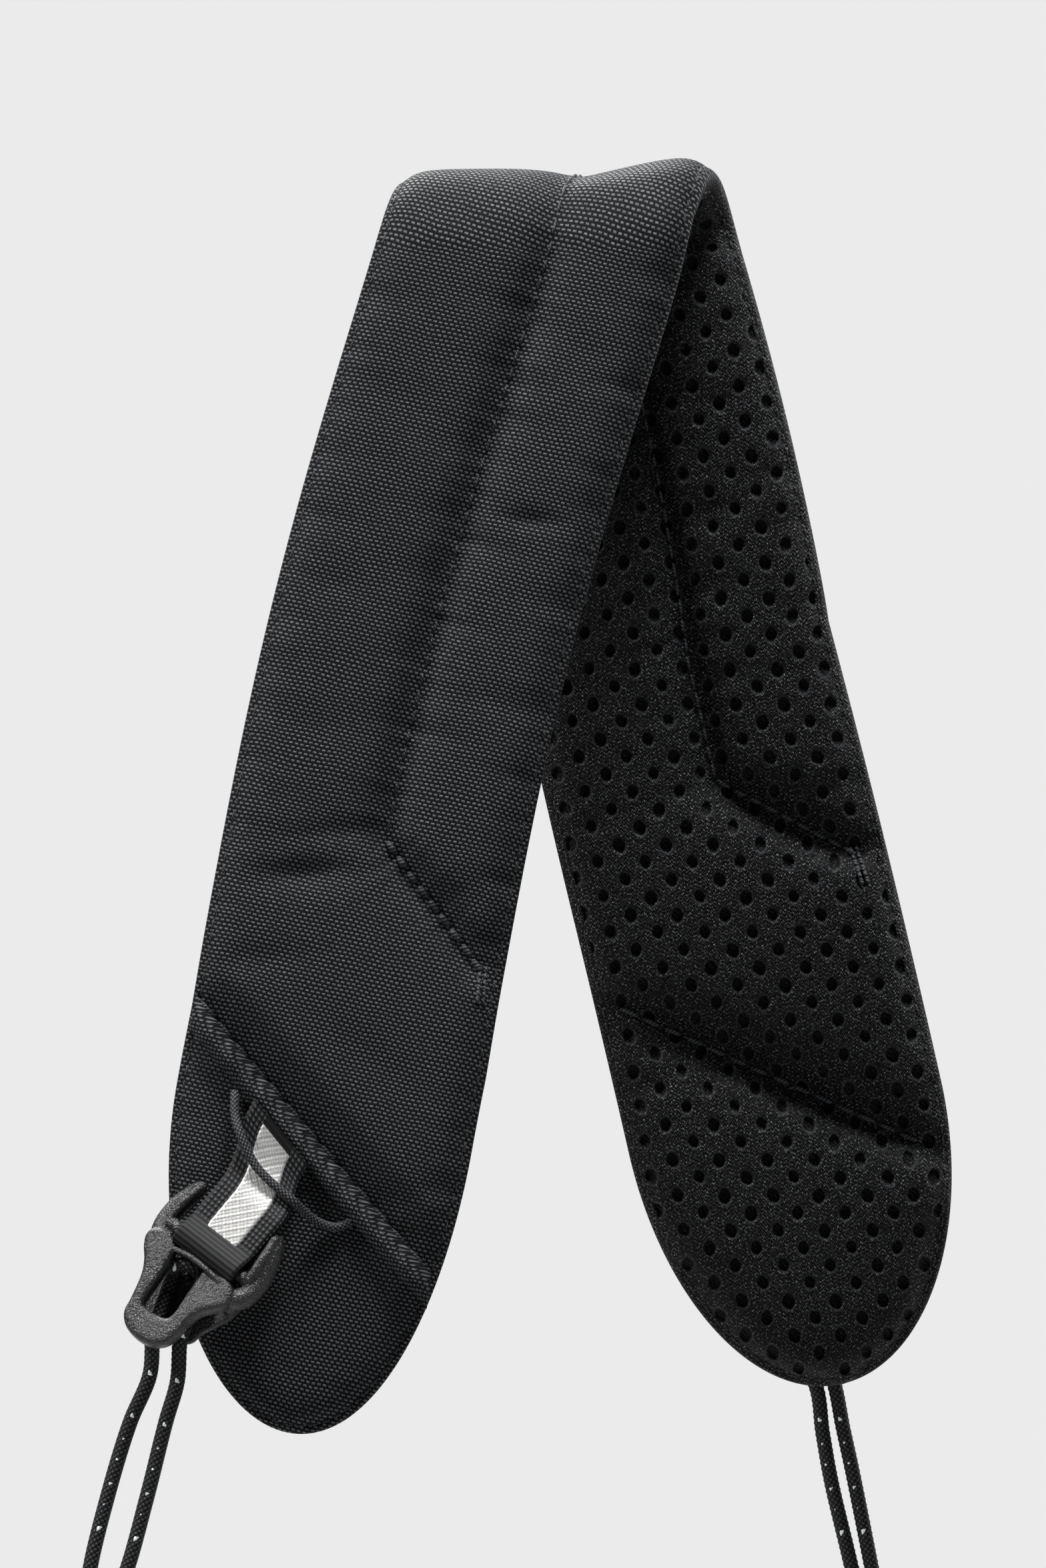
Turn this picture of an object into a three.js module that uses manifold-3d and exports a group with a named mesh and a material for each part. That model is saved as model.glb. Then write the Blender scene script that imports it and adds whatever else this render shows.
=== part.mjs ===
// Padded shoulder strap of a carry bag, draped over a shoulder so that its two limbs hang down.
//
// The pad is a flat sandwich of mesh lining, foam and woven face that bends once, over the shoulder.
// Its parts are laid out flat: s runs along the pad from its middle (front limb positive), w runs
// across it, and t is the height above its middle surface, towards the face.
// strapPoint() then bends that flat layout over the shoulder. Each end carries the same hardware:
// a webbing tab, a moulded hook that turns on the tab, and a doubled cord that hangs in the hook.
// Units are millimetres, +Z is up, -Y is the front, and the origin is the shoulder's highest point.

import * as THREE from 'three';
import { mergeVertices } from 'three/addons/utils/BufferGeometryUtils.js';
import Module from 'manifold-3d';

const wasm = await Module();
wasm.setup();

const { abs, cos, exp, hypot, max, min, sign, sin, sqrt, PI } = Math;
const radians = THREE.MathUtils.degToRad;
const mix = THREE.MathUtils.lerp;

// The pad's outline. Its sides start to round in at round, and it ends at tip.
const FRONT = { round: 184, tip: 244.5, swing: 8.5 };
const REAR = { round: 197, tip: 250.5, swing: 1.5 };
const HALF_WIDTH = 29;
const REAR_HALF_WIDTH = 31.2; // the rear limb widens to this
const SWING_START = 150; // each tip swings towards plumb from here
const SWING_LENGTH = 97.5;

// How the pad lies over the shoulder.
const SLANT = radians(13.7); // the pad crosses the shoulder at this angle
const FOLD_RADIUS = 12; // of the pad's middle surface
const SPLAY = radians(3); // each limb leans out from plumb
const FOLD_ANGLE = PI / 2 - SPLAY;
const MIDDLE_AHEAD = 5.7; // the pad's middle lies this far in front of the fold's crest
const LINING_HEIGHT = 4.2; // lining's lower face to the middle surface, at full thickness
const FRONT_BOW = { depth: -3.1, start: 12, length: 158, power: 1.2 }; // the limbs bow sideways
const REAR_BOW = { depth: 2.4, start: 0, length: 105, power: 0.8 };
const CORNER_LIFT = 2.8; // the right edge curls up at the fold

// The pad's thickness, from its middle surface.
const EDGE_HEIGHT = 1.4;
const FACE_RISE = 3.4;
const CAP_RISE = 2.9;
const LINING_RISE = 2.8;
const ROUNDING = 10; // the pad thins over this distance from its edge
const GROOVE_DEPTH = 0.55; // share of the rise that the centre seam pulls down
const GROOVE_WIDTH = 5;
const FACE_THICKNESS = 0.7;
const LINING_THICKNESS = 1;
const FOAM_INSET = 3.5;
const FOAM_END_SHARE = 0.91; // the foam's ends are this much as long as the pad's rounded ones
const GAP = 0.32; // between pieces that touch
const STITCH_GAP = 0.5; // between the face and what is sewn onto it
const FOAM_GAP = 0.75; // between the foam and its skins, whose facets differ

// Seams.
const SEAM_MIDDLE = 3.7;
const SEAM_BEND = { s: 130, w: 2 };
const SEAM_END = { s: 150, w: 24.6 };
const STITCH = { width: 0.9, height: 0.5 };
const BARTACK = { length: 5, width: 1.6, height: 0.7 };

// The slanting hem at each end: s = HEM_MIDDLE + HEM_SLOPE * w is its row of stitches.
const HEM_MIDDLE = 189.15;
const HEM_SLOPE = 0.769;
const HEM_ANGLE = Math.atan(HEM_SLOPE);
const HEM_ROLL = [[0.35, 1.5], [1.4, 2.9], [3.4, 3.3], [5.5, 2.95]]; // distance past it, height
const HEM_LEFT = -28.6;
const HEM_RIGHT = 22.4;

// Hardware. Places are in s, w and t.
const WEBBING_WIDTH = 15;
const WEBBING_LAYER = 1;
const ANCHOR_THICKNESS = 1.6;
const STRIPE_WIDTH = 7.5;
const STRIPE_THICKNESS = 0.25;
const TAB_LENGTH = 25.5; // from the hem to the hook's crossbar
const TAB_ROOT = { s: 191.3, w: -6.8, t: 5.75 };
const TAB_YAW = radians(15.6);
const TAB_BLEND = 14; // the tab has turned into line with the hook this far from the hem
const TAB_STATIONS = [2.3, 4.7, 7, 9.3, 11.7, TAB_BLEND];
const REAR_SHIFT = { s: 9.6, w: 10, lift: 0.5 }; // the rear hardware sits further along its hem
const CROSSBAR = { s: 214.8, w: -13.7, t: 11.4 };
const HOOK_YAW = radians(24);
const HOOK_ROLL = radians(18);
const HOOK_PITCH = radians(6);
const CROSSBAR_RADIUS = 1.5;
const PLATE_HALF = 1.9;
const CORD_RADIUS = 1.5;
const CORD_LEVEL = -PLATE_HALF - 0.4 - CORD_RADIUS;
const TONGUE = {
  top: CORD_LEVEL - CORD_RADIUS - 0.35,
  thickness: 1.2,
  outline: [
    [8.6, -3.6], [8.6, -8], [7.4, -11.4], [6.8, -14.4], [5.2, -15.6], [3.2, -14.8], [-3.4, -8], [-4, -3.6],
  ],
};
const POST = { v: -1.8, u: -5.8, radius: 0.8, length: 0.8 };
const BIGHT_RADIUS = POST.radius + 0.5 + CORD_RADIUS;
const CORD_LEAN = radians(21); // the cord leaves the hook at this angle to the hook's axis
const KEEPER_RADIUS = 0.9;
const KNOT_RADIUS = 4.2;

const COLOURS = {
  face: [0x17191c, 0.72],
  lining: [0x131416, 0.9],
  foam: [0x55585c, 0.95],
  thread: [0x1f2124, 0.8],
  webbing: [0x1b1d20, 0.8],
  stripe: [0xc9cac8, 0.35],
  plastic: [0x202327, 0.5],
  cord: [0x17181a, 0.85],
};

const group = new THREE.Group();

// ---------------------------------------------------------------- bending the flat layout

// Where a point of the flat sheet goes: across is along the shoulder, down is past its crest.
function bend(across, down, t) {
  const length = abs(down);
  const angle = min(length / FOLD_RADIUS, FOLD_ANGLE);
  const straight = length - FOLD_RADIUS * angle;
  const out = (FOLD_RADIUS + t) * sin(angle) + straight * cos(angle);
  const up = (FOLD_RADIUS + t) * cos(angle) - straight * sin(angle);
  return new THREE.Vector3(across, -sign(down) * out, up - FOLD_RADIUS + LINING_HEIGHT);
}

// How far the pad's middle line lies to the side: its limbs bow, and its tips swing to plumb.
function sideways(s) {
  const { swing } = s < 0 ? REAR : FRONT;
  const bow = s < 0 ? REAR_BOW : FRONT_BOW;
  const share = min(1, max(0, (abs(s) - bow.start) / bow.length));
  return bow.depth * sin(PI * share) ** bow.power
    + sign(s) * swing * (max(0, abs(s) - SWING_START) / SWING_LENGTH) ** 2;
}

// A point of the pad.
function strapPoint(s, w, t) {
  const place = w + sideways(s);
  const down = cos(SLANT) * s + sin(SLANT) * place + MIDDLE_AHEAD;
  const lift = CORNER_LIFT * exp(-((down / 16) ** 2)) * THREE.MathUtils.smoothstep(w, 6, 27);
  return sheetPoint(s, place, t + lift);
}

// A point that keeps straight with its limb, as the hardware does.
function sheetPoint(s, w, t) {
  const across = -sin(SLANT) * s + cos(SLANT) * w;
  const down = cos(SLANT) * s + sin(SLANT) * w + MIDDLE_AHEAD;
  return bend(across, down, t);
}

// ---------------------------------------------------------------- the pad's shape

function halfWidthAt(s) {
  return mix(HALF_WIDTH, REAR_HALF_WIDTH, THREE.MathUtils.smoothstep(-s, 10, 150));
}

// Where the outline ends, for a column at that share of the half width.
function endAt(share, end) {
  const { round, tip } = end < 0 ? REAR : FRONT;
  return round + (tip - round) * sqrt(1 - min(1, abs(share)) ** 2);
}

function edgeDistance(s, w) {
  const { round, tip } = s < 0 ? REAR : FRONT;
  const half = halfWidthAt(s);
  const past = abs(s) - round;
  if (past <= 0) return half - abs(w);
  const long = tip - round;
  const inside = max(0, 1 - (past / long) ** 2 - (w / half) ** 2);
  return inside / (2 * hypot(past / long ** 2, w / half ** 2));
}

function pillow(s, w) {
  const near = min(1, max(0, edgeDistance(s, w)) / ROUNDING);
  return 1 - (1 - near) ** 2.5;
}

function seamAt(s) {
  return mix(SEAM_MIDDLE, SEAM_BEND.w, min(1, abs(s) / SEAM_BEND.s));
}

function groove(s, w) {
  const fade = min(1, max(0, (SEAM_END.s - abs(s)) / (SEAM_END.s - SEAM_BEND.s)));
  return 1 - GROOVE_DEPTH * fade * exp(-(((w - seamAt(s)) / GROOVE_WIDTH) ** 2));
}

function hemAt(w) {
  return HEM_MIDDLE + HEM_SLOPE * w;
}

function faceHeight(s, w) {
  const cap = THREE.MathUtils.smoothstep(abs(s) - hemAt(w), -14, -2);
  return EDGE_HEIGHT + mix(FACE_RISE, CAP_RISE, cap) * pillow(s, w) * groove(s, w);
}

function liningDepth(s, w) {
  return -EDGE_HEIGHT - LINING_RISE * pillow(s, w) * groove(s, w);
}

// Stations along half the pad: close together over the fold, then wide.
const STATIONS = [];
for (let s = 4.5; s <= 36; s += 4.5) STATIONS.push(s);
for (let s = 51.5; s <= 160; s += 15.5) STATIONS.push(s);
const END_ROWS = [0.25, 0.5, 0.72, 0.88, 0.97, 1];
const COLUMNS = [-1, -0.93, -0.78, -0.5, 'seam', 0.5, 0.78, 0.93, 1];

// The stations of one column, from the rear end to the front end.
function stations(frontEnd, rearEnd) {
  const last = STATIONS.at(-1);
  const half = (end) => [...STATIONS, ...END_ROWS.map((share) => mix(last, end, share))];
  return [...half(rearEnd).map((s) => -s).reverse(), 0, ...half(frontEnd)];
}

// A grid of the pad's columns: fixed shares of its width less an inset, and one on the centre seam.
function columnGrid(endOf, inset = 0) {
  const columns = COLUMNS.map((share) => {
    const along = share === 'seam' ? SEAM_BEND.w / HALF_WIDTH : share;
    const place = (s) => (share === 'seam' ? seamAt(s) : share * (halfWidthAt(s) - inset));
    return stations(endOf(along, 1), endOf(along, -1)).map((s) => [s, place(s)]);
  });
  return transpose(columns);
}

// ---------------------------------------------------------------- closed bodies

// Turns a closed body's faces outwards if they point in.
function outward(geometry) {
  const body = geometry.index ? geometry : mergeVertices(geometry);
  const { array } = body.attributes.position;
  const index = body.index.array;
  const corner = (k) => new THREE.Vector3().fromArray(array, index[k] * 3);
  let volume = 0;
  for (let k = 0; k < index.length; k += 3) volume += corner(k).dot(corner(k + 1).cross(corner(k + 2)));
  for (let k = 0; volume < 0 && k < index.length; k += 3) {
    [index[k], index[k + 1]] = [index[k + 1], index[k]];
  }
  body.computeVertexNormals();
  return body;
}

// A geometry with only its places, and one vertex where several met.
function bare(geometry) {
  const copy = geometry.clone();
  for (const name of ['normal', 'uv']) copy.deleteAttribute(name);
  return mergeVertices(copy, 1e-4);
}

// A closed body between two grids of the same size.
function between(lower, upper) {
  const rows = lower.length;
  const columns = lower[0].length;
  const places = [...lower.flat(), ...upper.flat()].flatMap((p) => p.toArray());
  const low = (i, j) => i * columns + j;
  const high = (i, j) => rows * columns + low(i, j);
  const faces = [];
  const quad = (a, b, c, d) => faces.push(a, b, c, a, c, d);
  for (let i = 0; i + 1 < rows; i += 1) {
    for (let j = 0; j + 1 < columns; j += 1) {
      quad(high(i, j), high(i + 1, j), high(i + 1, j + 1), high(i, j + 1));
      quad(low(i, j), low(i, j + 1), low(i + 1, j + 1), low(i + 1, j));
    }
    quad(low(i, 0), low(i + 1, 0), high(i + 1, 0), high(i, 0));
    quad(high(i, columns - 1), high(i + 1, columns - 1), low(i + 1, columns - 1), low(i, columns - 1));
  }
  for (let j = 0; j + 1 < columns; j += 1) {
    quad(high(0, j), high(0, j + 1), low(0, j + 1), low(0, j));
    quad(low(rows - 1, j), low(rows - 1, j + 1), high(rows - 1, j + 1), high(rows - 1, j));
  }
  const geometry = new THREE.BufferGeometry();
  geometry.setAttribute('position', new THREE.Float32BufferAttribute(places, 3));
  geometry.setIndex(faces);
  return outward(bare(geometry));
}

// A layer of the pad over a grid of (s, w), from the height low(s, w) to high(s, w).
function layer(grid, low, high, point = strapPoint) {
  const at = (height) => grid.map((row) => row.map(([s, w]) => point(s, w, height(s, w))));
  return between(at(low), at(high));
}

function transpose(grid) {
  return grid[0].map((_, i) => grid.map((row) => row[i]));
}

// A round tube along a smooth curve through the points, with closed ends.
function tube(points, radius, steps, sides = 8) {
  const section = new THREE.Shape();
  for (let k = 0; k < sides; k += 1) {
    const angle = (2 * PI * k) / sides;
    section[k ? 'lineTo' : 'moveTo'](radius * cos(angle), radius * sin(angle));
  }
  const extrudePath = new THREE.CatmullRomCurve3(points, false, 'centripetal');
  return outward(bare(new THREE.ExtrudeGeometry(section, { steps, extrudePath })));
}

function solid(geometry) {
  const { position } = bare(geometry).attributes;
  const triVerts = Uint32Array.from(bare(geometry).index.array);
  return new wasm.Manifold(new wasm.Mesh({ numProp: 3, vertProperties: position.array, triVerts }));
}

function geometryOf(manifold) {
  const mesh = manifold.getMesh();
  const geometry = new THREE.BufferGeometry();
  geometry.setAttribute('position', new THREE.BufferAttribute(mesh.vertProperties, 3));
  geometry.setIndex(new THREE.BufferAttribute(mesh.triVerts, 1));
  return geometry;
}

// The body with each point moved by move(x, y, z).
function moved(geometry, move) {
  const copy = bare(geometry);
  const { position } = copy.attributes;
  for (let k = 0; k < position.count; k += 1) {
    move(position.getX(k), position.getY(k), position.getZ(k)).toArray(position.array, k * 3);
  }
  return outward(copy);
}

function add(name, geometry, colour) {
  const [color, roughness] = COLOURS[colour];
  const mesh = new THREE.Mesh(geometry, new THREE.MeshStandardMaterial({ color, roughness }));
  mesh.name = name;
  group.add(mesh);
}

// ---------------------------------------------------------------- the pad

function addLining() {
  const top = (s, w) => liningDepth(s, w) + LINING_THICKNESS;
  add('lining_mesh', layer(columnGrid(endAt), liningDepth, top), 'lining');
}

function addFoam() {
  const inner = (share, end) => {
    const { round } = end < 0 ? REAR : FRONT;
    return mix(round, endAt(share, end), FOAM_END_SHARE);
  };
  const low = (s, w) => liningDepth(s, w) + LINING_THICKNESS + FOAM_GAP;
  const high = (s, w) => faceHeight(s, w) - FACE_THICKNESS - FOAM_GAP;
  add('foam_core', layer(columnGrid(inner, FOAM_INSET), low, high), 'foam');
}

function faceBottom(s, w) {
  return faceHeight(s, w) - FACE_THICKNESS;
}

function addFace() {
  const ends = (share, end) => min(hemAt(share * HALF_WIDTH), endAt(share, end));
  add('face_panel', layer(columnGrid(ends), faceBottom, faceHeight), 'face');
}

// The woven end piece from under the hem to the tip.
function addEndCap(name, end) {
  const shares = [-1, -0.93, -0.78, -0.5, -0.1, 0.3, 0.6, 0.78, 0.87];
  const columns = shares.map((share) => {
    const start = hemAt(share * HALF_WIDTH) + GAP + 0.1;
    return [0, 0.2, 0.4, 0.6, 0.78, 0.91, 1].map((part) => {
      const s = end * mix(start, endAt(share, end), part);
      return [s, share * halfWidthAt(s)];
    });
  });
  add(`${name}_end_cap`, layer(transpose(columns), faceBottom, faceHeight), 'face');
}

// The turned-in seam allowance that joins lining and face all round.
function addEdgeSeam() {
  const [outer, inner] = [0.9, 3];
  const low = -EDGE_HEIGHT + LINING_THICKNESS + GAP;
  const high = EDGE_HEIGHT - FACE_THICKNESS - GAP;
  const turns = [6, 15, 25, 36, 48, 62, 76, 90].map(radians);
  const straight = [0, ...STATIONS];
  const quarter = (end, side) => [
    ...straight.map((s) => ({ end, side, s: end * s, turn: 0 })),
    ...turns.map((turn) => ({ end, side, s: end * (end < 0 ? REAR : FRONT).round, turn })),
  ];
  const half = (side) => [...quarter(-1, side).slice(1).reverse(), ...quarter(1, side)];
  const ring = [...half(1), ...half(-1).reverse().slice(1, -1)];
  const point = ({ end, side, s, turn }, inset, t) => {
    const { round, tip } = end < 0 ? REAR : FRONT;
    const past = turn ? end * (tip - round - inset) * sin(turn) : 0;
    return strapPoint(s + past, side * (halfWidthAt(s) - inset) * cos(turn), t);
  };
  const loops = [[outer, low], [inner, low], [inner, high], [outer, high]];
  const places = loops.flatMap(([inset, t]) => ring.flatMap((place) => point(place, inset, t).toArray()));
  const faces = [];
  for (let loop = 0; loop < 4; loop += 1) {
    for (let k = 0; k < ring.length; k += 1) {
      const next = (k + 1) % ring.length;
      const [a, b] = [loop * ring.length, ((loop + 1) % 4) * ring.length];
      faces.push(a + k, a + next, b + next, a + k, b + next, b + k);
    }
  }
  const geometry = new THREE.BufferGeometry();
  geometry.setAttribute('position', new THREE.Float32BufferAttribute(places, 3));
  geometry.setIndex(faces);
  add('edge_seam_allowance', outward(bare(geometry)), 'face');
}

// ---------------------------------------------------------------- seams on the face

const onFace = (s, w) => faceHeight(s, w) + STITCH_GAP;

function addCentreSeam() {
  const half = [...STATIONS.filter((s) => s < SEAM_BEND.s - 5), SEAM_BEND.s, 136, 143, SEAM_END.s];
  const stations = [...half.map((s) => -s).reverse(), 0, ...half];
  const grid = stations.map((s) => {
    const past = max(0, abs(s) - SEAM_BEND.s) / (SEAM_END.s - SEAM_BEND.s);
    const w = past ? mix(SEAM_BEND.w, SEAM_END.w, past) : seamAt(s);
    const wide = (STITCH.width / 2) * (past ? 1.5 : 1);
    return [[s, w - wide], [s, w + wide]];
  });
  const top = (s, w) => onFace(s, w) + STITCH.height;
  add('centre_seam_stitching', layer(grid, onFace, top), 'thread');
}

function addBartack(name, end) {
  const grid = [-0.5, 0.5].map((part) => [-0.5, 0.5].map((share) => [
    end * (SEAM_END.s + 3.4 + part * BARTACK.length),
    SEAM_END.w + 0.6 + share * BARTACK.width,
  ]));
  const top = (s, w) => onFace(s, w) + BARTACK.height;
  add(`${name}_bartack`, layer(grid, onFace, top), 'thread');
}

// A body along the hem, over some of its stations. Each column of its profile gives how far it
// lies past the row of stitches, towards the tip, and its bottom and top above the face.
function hemStrip(end, profile, first) {
  const stations = [];
  for (let k = first; k <= 12; k += 1) stations.push(mix(HEM_LEFT, HEM_RIGHT, k / 12));
  const grid = (height) => stations.map((w) => profile.map((column) => {
    const s = end * (hemAt(w) + column.past / cos(HEM_ANGLE));
    return strapPoint(s, w, faceHeight(s, w) + column[height]);
  }));
  return between(grid('low'), grid('high'));
}

function addHem(name, end, shift) {
  const low = STITCH_GAP;
  const roll = hemStrip(end, HEM_ROLL.map(([past, high]) => ({ past, low, high })), 0);
  const pocket = anchorBlock(end, shift, 0.35);
  add(`${name}_hem`, outward(geometryOf(solid(roll).subtract(solid(pocket)))), 'face');
  const seat = HEM_ROLL[1][1] + GAP;
  const row = [0.55, 1.15].map((past) => ({ past, low: seat, high: seat + STITCH.height }));
  add(`${name}_hem_stitching`, hemStrip(end, row, 1), 'thread');
}

// ---------------------------------------------------------------- hardware frames

// A frame given by its place, and its axes, in s, w and t.
function frame(place, along, across, up) {
  const axes = new THREE.Matrix4().makeBasis(along, across, up).setPosition(place);
  return (x, y, z) => new THREE.Vector3(x, y, z).applyMatrix4(axes);
}

// The webbing where it leaves the hem: x runs towards the tip, y across, z out.
function rootFrame(shift) {
  return frame(
    new THREE.Vector3(TAB_ROOT.s + shift.s, TAB_ROOT.w + shift.w, TAB_ROOT.t),
    new THREE.Vector3(cos(TAB_YAW), -sin(TAB_YAW), 0),
    new THREE.Vector3(sin(TAB_YAW), cos(TAB_YAW), 0),
    new THREE.Vector3(0, 0, 1),
  );
}

// The hook: x runs from its nose to its horns, y across it, z out, and the crossbar is at 0.
function hookFrame(shift) {
  const turn = new THREE.Matrix4()
    .makeRotationZ(-HOOK_YAW)
    .multiply(new THREE.Matrix4().makeRotationX(HOOK_ROLL))
    .multiply(new THREE.Matrix4().makeRotationY(-HOOK_PITCH));
  const axis = (x, y, z) => new THREE.Vector3(x, y, z).transformDirection(turn);
  const place = new THREE.Vector3(CROSSBAR.s + shift.s, CROSSBAR.w + shift.w, CROSSBAR.t + shift.lift);
  return frame(place, axis(-1, 0, 0), axis(0, 1, 0), axis(0, 0, 1));
}

// Carries a point in s, w and t to the front or the rear limb.
function toLimb(end) {
  return (place) => sheetPoint(end * place.x, place.y, place.z);
}

// The webbing's root edge follows the hem, so its layout is sheared there.
const HEM_SHEAR = Math.tan(HEM_ANGLE - TAB_YAW);

// The tab's own layout: x from the hem to the crossbar, y across, z out. It lies in the root's
// frame at the hem and in the hook's frame at the crossbar.
function tabPoint(end, shift) {
  const root = rootFrame(shift);
  const hook = hookFrame(shift);
  const limb = toLimb(end);
  return (x, y, z) => {
    const share = THREE.MathUtils.smoothstep(x, 0, TAB_BLEND);
    return limb(root(x + y * HEM_SHEAR, y, z).lerp(hook(TAB_LENGTH - x, y, z), share));
  };
}

function anchorBlock(end, shift, spare) {
  const root = rootFrame(shift);
  const limb = toLimb(end);
  const half = WEBBING_WIDTH / 2 + spare;
  const low = -1 - (spare ? spare : 0);
  const box = new THREE.BoxGeometry(3.6 + spare * 4, 2 * half, ANCHOR_THICKNESS + 2 * spare);
  return moved(box, (x, y, z) => (
    limb(root(x - 2.6 + spare + y * HEM_SHEAR, y, z + low + ANCHOR_THICKNESS / 2 + spare))
  ));
}

// ---------------------------------------------------------------- hardware pieces

// The webbing loop: two layers sewn together, which part to go round the crossbar.
function addWebbing(name, end, shift) {
  const tab = tabPoint(end, shift);
  const half = WEBBING_WIDTH / 2;
  const grid = [0.3, ...TAB_STATIONS, TAB_LENGTH - 4.5].map((x) => [[x, -half], [x, half]]);
  const sewn = layer(grid, () => -WEBBING_LAYER, () => WEBBING_LAYER, tab);
  const inner = CROSSBAR_RADIUS + 0.3;
  const outer = inner + WEBBING_LAYER;
  const side = new THREE.Shape();
  side.moveTo(TAB_LENGTH - 5, WEBBING_LAYER);
  side.lineTo(TAB_LENGTH - 5, -WEBBING_LAYER);
  side.absarc(TAB_LENGTH, 0, outer, -PI / 2, PI / 2, false);
  const eye = new THREE.Path();
  eye.moveTo(TAB_LENGTH - 4, 0);
  eye.lineTo(TAB_LENGTH, inner);
  eye.absarc(TAB_LENGTH, 0, inner, PI / 2, -PI / 2, true);
  side.holes.push(eye);
  const sweep = { depth: WEBBING_WIDTH, bevelEnabled: false, curveSegments: 6 };
  const loop = moved(new THREE.ExtrudeGeometry(side, sweep), (x, z, y) => tab(x, y - half, z));
  add(`${name}_webbing_tab`, outward(geometryOf(solid(sewn).add(solid(loop)))), 'webbing');
  add(`${name}_webbing_anchor`, anchorBlock(end, shift, 0), 'webbing');
}

function addStripe(name, end, shift) {
  const tab = tabPoint(end, shift);
  const half = STRIPE_WIDTH / 2;
  const grid = [0.6, ...TAB_STATIONS, TAB_LENGTH - 5.2].map((x) => [[x, -half], [x, half]]);
  const low = WEBBING_LAYER + STITCH_GAP;
  const stripe = layer(grid, () => low, () => low + STRIPE_THICKNESS, tab);
  add(`${name}_reflective_stripe`, stripe, 'stripe');
}

// Half of the hook's outline from the nose's tip to the inside of the horn, as (across, along).
const HOOK_EDGE = [
  [0, -21.6], [3.4, -20.7], [5.1, -18.4], [5.4, -15.4], [5.7, -12.6], [7.2, -9.6], [10.2, -7.6],
  [11.4, -5.4], [11.3, -3], [11.9, -0.6], [12.8, 2.4], [12.2, 5.6], [10.8, 8.6], [9.4, 10.2],
  [8.2, 9.6], [8, 7], [8, 3.4],
];
const SLOT = { half: 3, bottom: -15, top: -5 };

function hookPlate() {
  const right = HOOK_EDGE.map(([v, u]) => new THREE.Vector2(v, u));
  const left = right.slice(1).reverse().map(({ x, y }) => new THREE.Vector2(-x, y));
  const inside = [8, -8].map((v) => new THREE.Vector2(v, -3.4));
  const outline = new THREE.Shape([...right, ...inside, ...left]);
  const slot = new THREE.Path();
  slot.absarc(-SLOT.half + 1, SLOT.top - 1, 1, PI / 2, PI, false);
  slot.absarc(-SLOT.half + 1, SLOT.bottom + 1, 1, PI, 1.5 * PI, false);
  slot.absarc(SLOT.half - 1, SLOT.bottom + 1, 1, 1.5 * PI, 2 * PI, false);
  slot.absarc(SLOT.half - 1, SLOT.top - 1, 1, 0, PI / 2, false);
  outline.holes.push(slot);
  const bevel = { bevelThickness: 0.9, bevelSize: 0.7, bevelOffset: -0.7, bevelSegments: 2 };
  const depth = 2 * (PLATE_HALF - bevel.bevelThickness);
  const plate = new THREE.ExtrudeGeometry(outline, { depth, curveSegments: 2, ...bevel });
  return plate.translate(0, 0, -depth / 2);
}

// The crossbar that the webbing turns round, from one horn to the other.
function hookCrossbar() {
  return new THREE.CylinderGeometry(CROSSBAR_RADIUS, CROSSBAR_RADIUS, 18.4, 12).rotateZ(PI / 2);
}

// The cleat behind the slot: a tongue on a side wall, and the post that the cord hangs on.
function hookCleat() {
  const rib = new THREE.Shape();
  rib.absarc(0, 0, POST.radius, 0, PI, false);
  rib.absarc(0, -POST.length, POST.radius, PI, 2 * PI, false);
  const height = CORD_LEVEL + CORD_RADIUS - 0.2 - TONGUE.top + 0.5;
  const post = new THREE.ExtrudeGeometry(rib, { depth: height, bevelEnabled: false, curveSegments: 4 });
  post.translate(0, 0, TONGUE.top - 0.5);
  post.applyMatrix4(new THREE.Matrix4().makeRotationZ(CORD_LEAN).setPosition(POST.v, POST.u, 0));
  const leaf = new THREE.Shape(TONGUE.outline.map(([v, u]) => new THREE.Vector2(v, u)));
  const tongue = new THREE.ExtrudeGeometry(leaf, { depth: TONGUE.thickness, bevelEnabled: false });
  tongue.translate(0, 0, TONGUE.top - TONGUE.thickness);
  const wall = new THREE.BoxGeometry(2.4, 4.4, -PLATE_HALF + 0.5 - TONGUE.top + TONGUE.thickness);
  wall.translate(7.4, -5.8, (-PLATE_HALF + 0.5 + TONGUE.top - TONGUE.thickness) / 2);
  return [post, tongue, wall];
}

function addHook(name, end, shift) {
  let hook = solid(hookPlate());
  for (const piece of [hookCrossbar(), ...hookCleat()]) hook = hook.add(solid(piece));
  const place = hookFrame(shift);
  const limb = toLimb(end);
  add(`${name}_hook`, moved(geometryOf(hook), (v, u, n) => limb(place(u, v, n))), 'plastic');
}

// ---------------------------------------------------------------- cords

// The elastic keeper: out of the hem, over the webbing and back. Over the webbing, its places
// are in the tab's layout.
function addKeeper(name, end, shift) {
  const tab = tabPoint(end, shift);
  const limb = toLimb(end);
  const ground = (s, w, t) => limb(new THREE.Vector3(s + shift.s, w + shift.w, t));
  const clear = WEBBING_LAYER + GAP + STRIPE_THICKNESS + KEEPER_RADIUS + 0.9;
  const points = [
    ground(184.9, -16.3, 6),
    ground(188, -15.5, 7.4),
    tab(4.4, -7.4, clear + 0.3),
    tab(6.7, -2.4, clear),
    tab(7, 1.6, clear),
    tab(6.6, 5.4, clear),
    tab(6.2, 8, clear - 0.2),
    tab(6, 9.8, 0.6),
    ground(204.2, 4.4, 6.9),
    ground(204.6, 8.2, 6),
  ];
  add(`${name}_keeper_loop`, tube(points, KEEPER_RADIUS, 22), 'cord');
}

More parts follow.
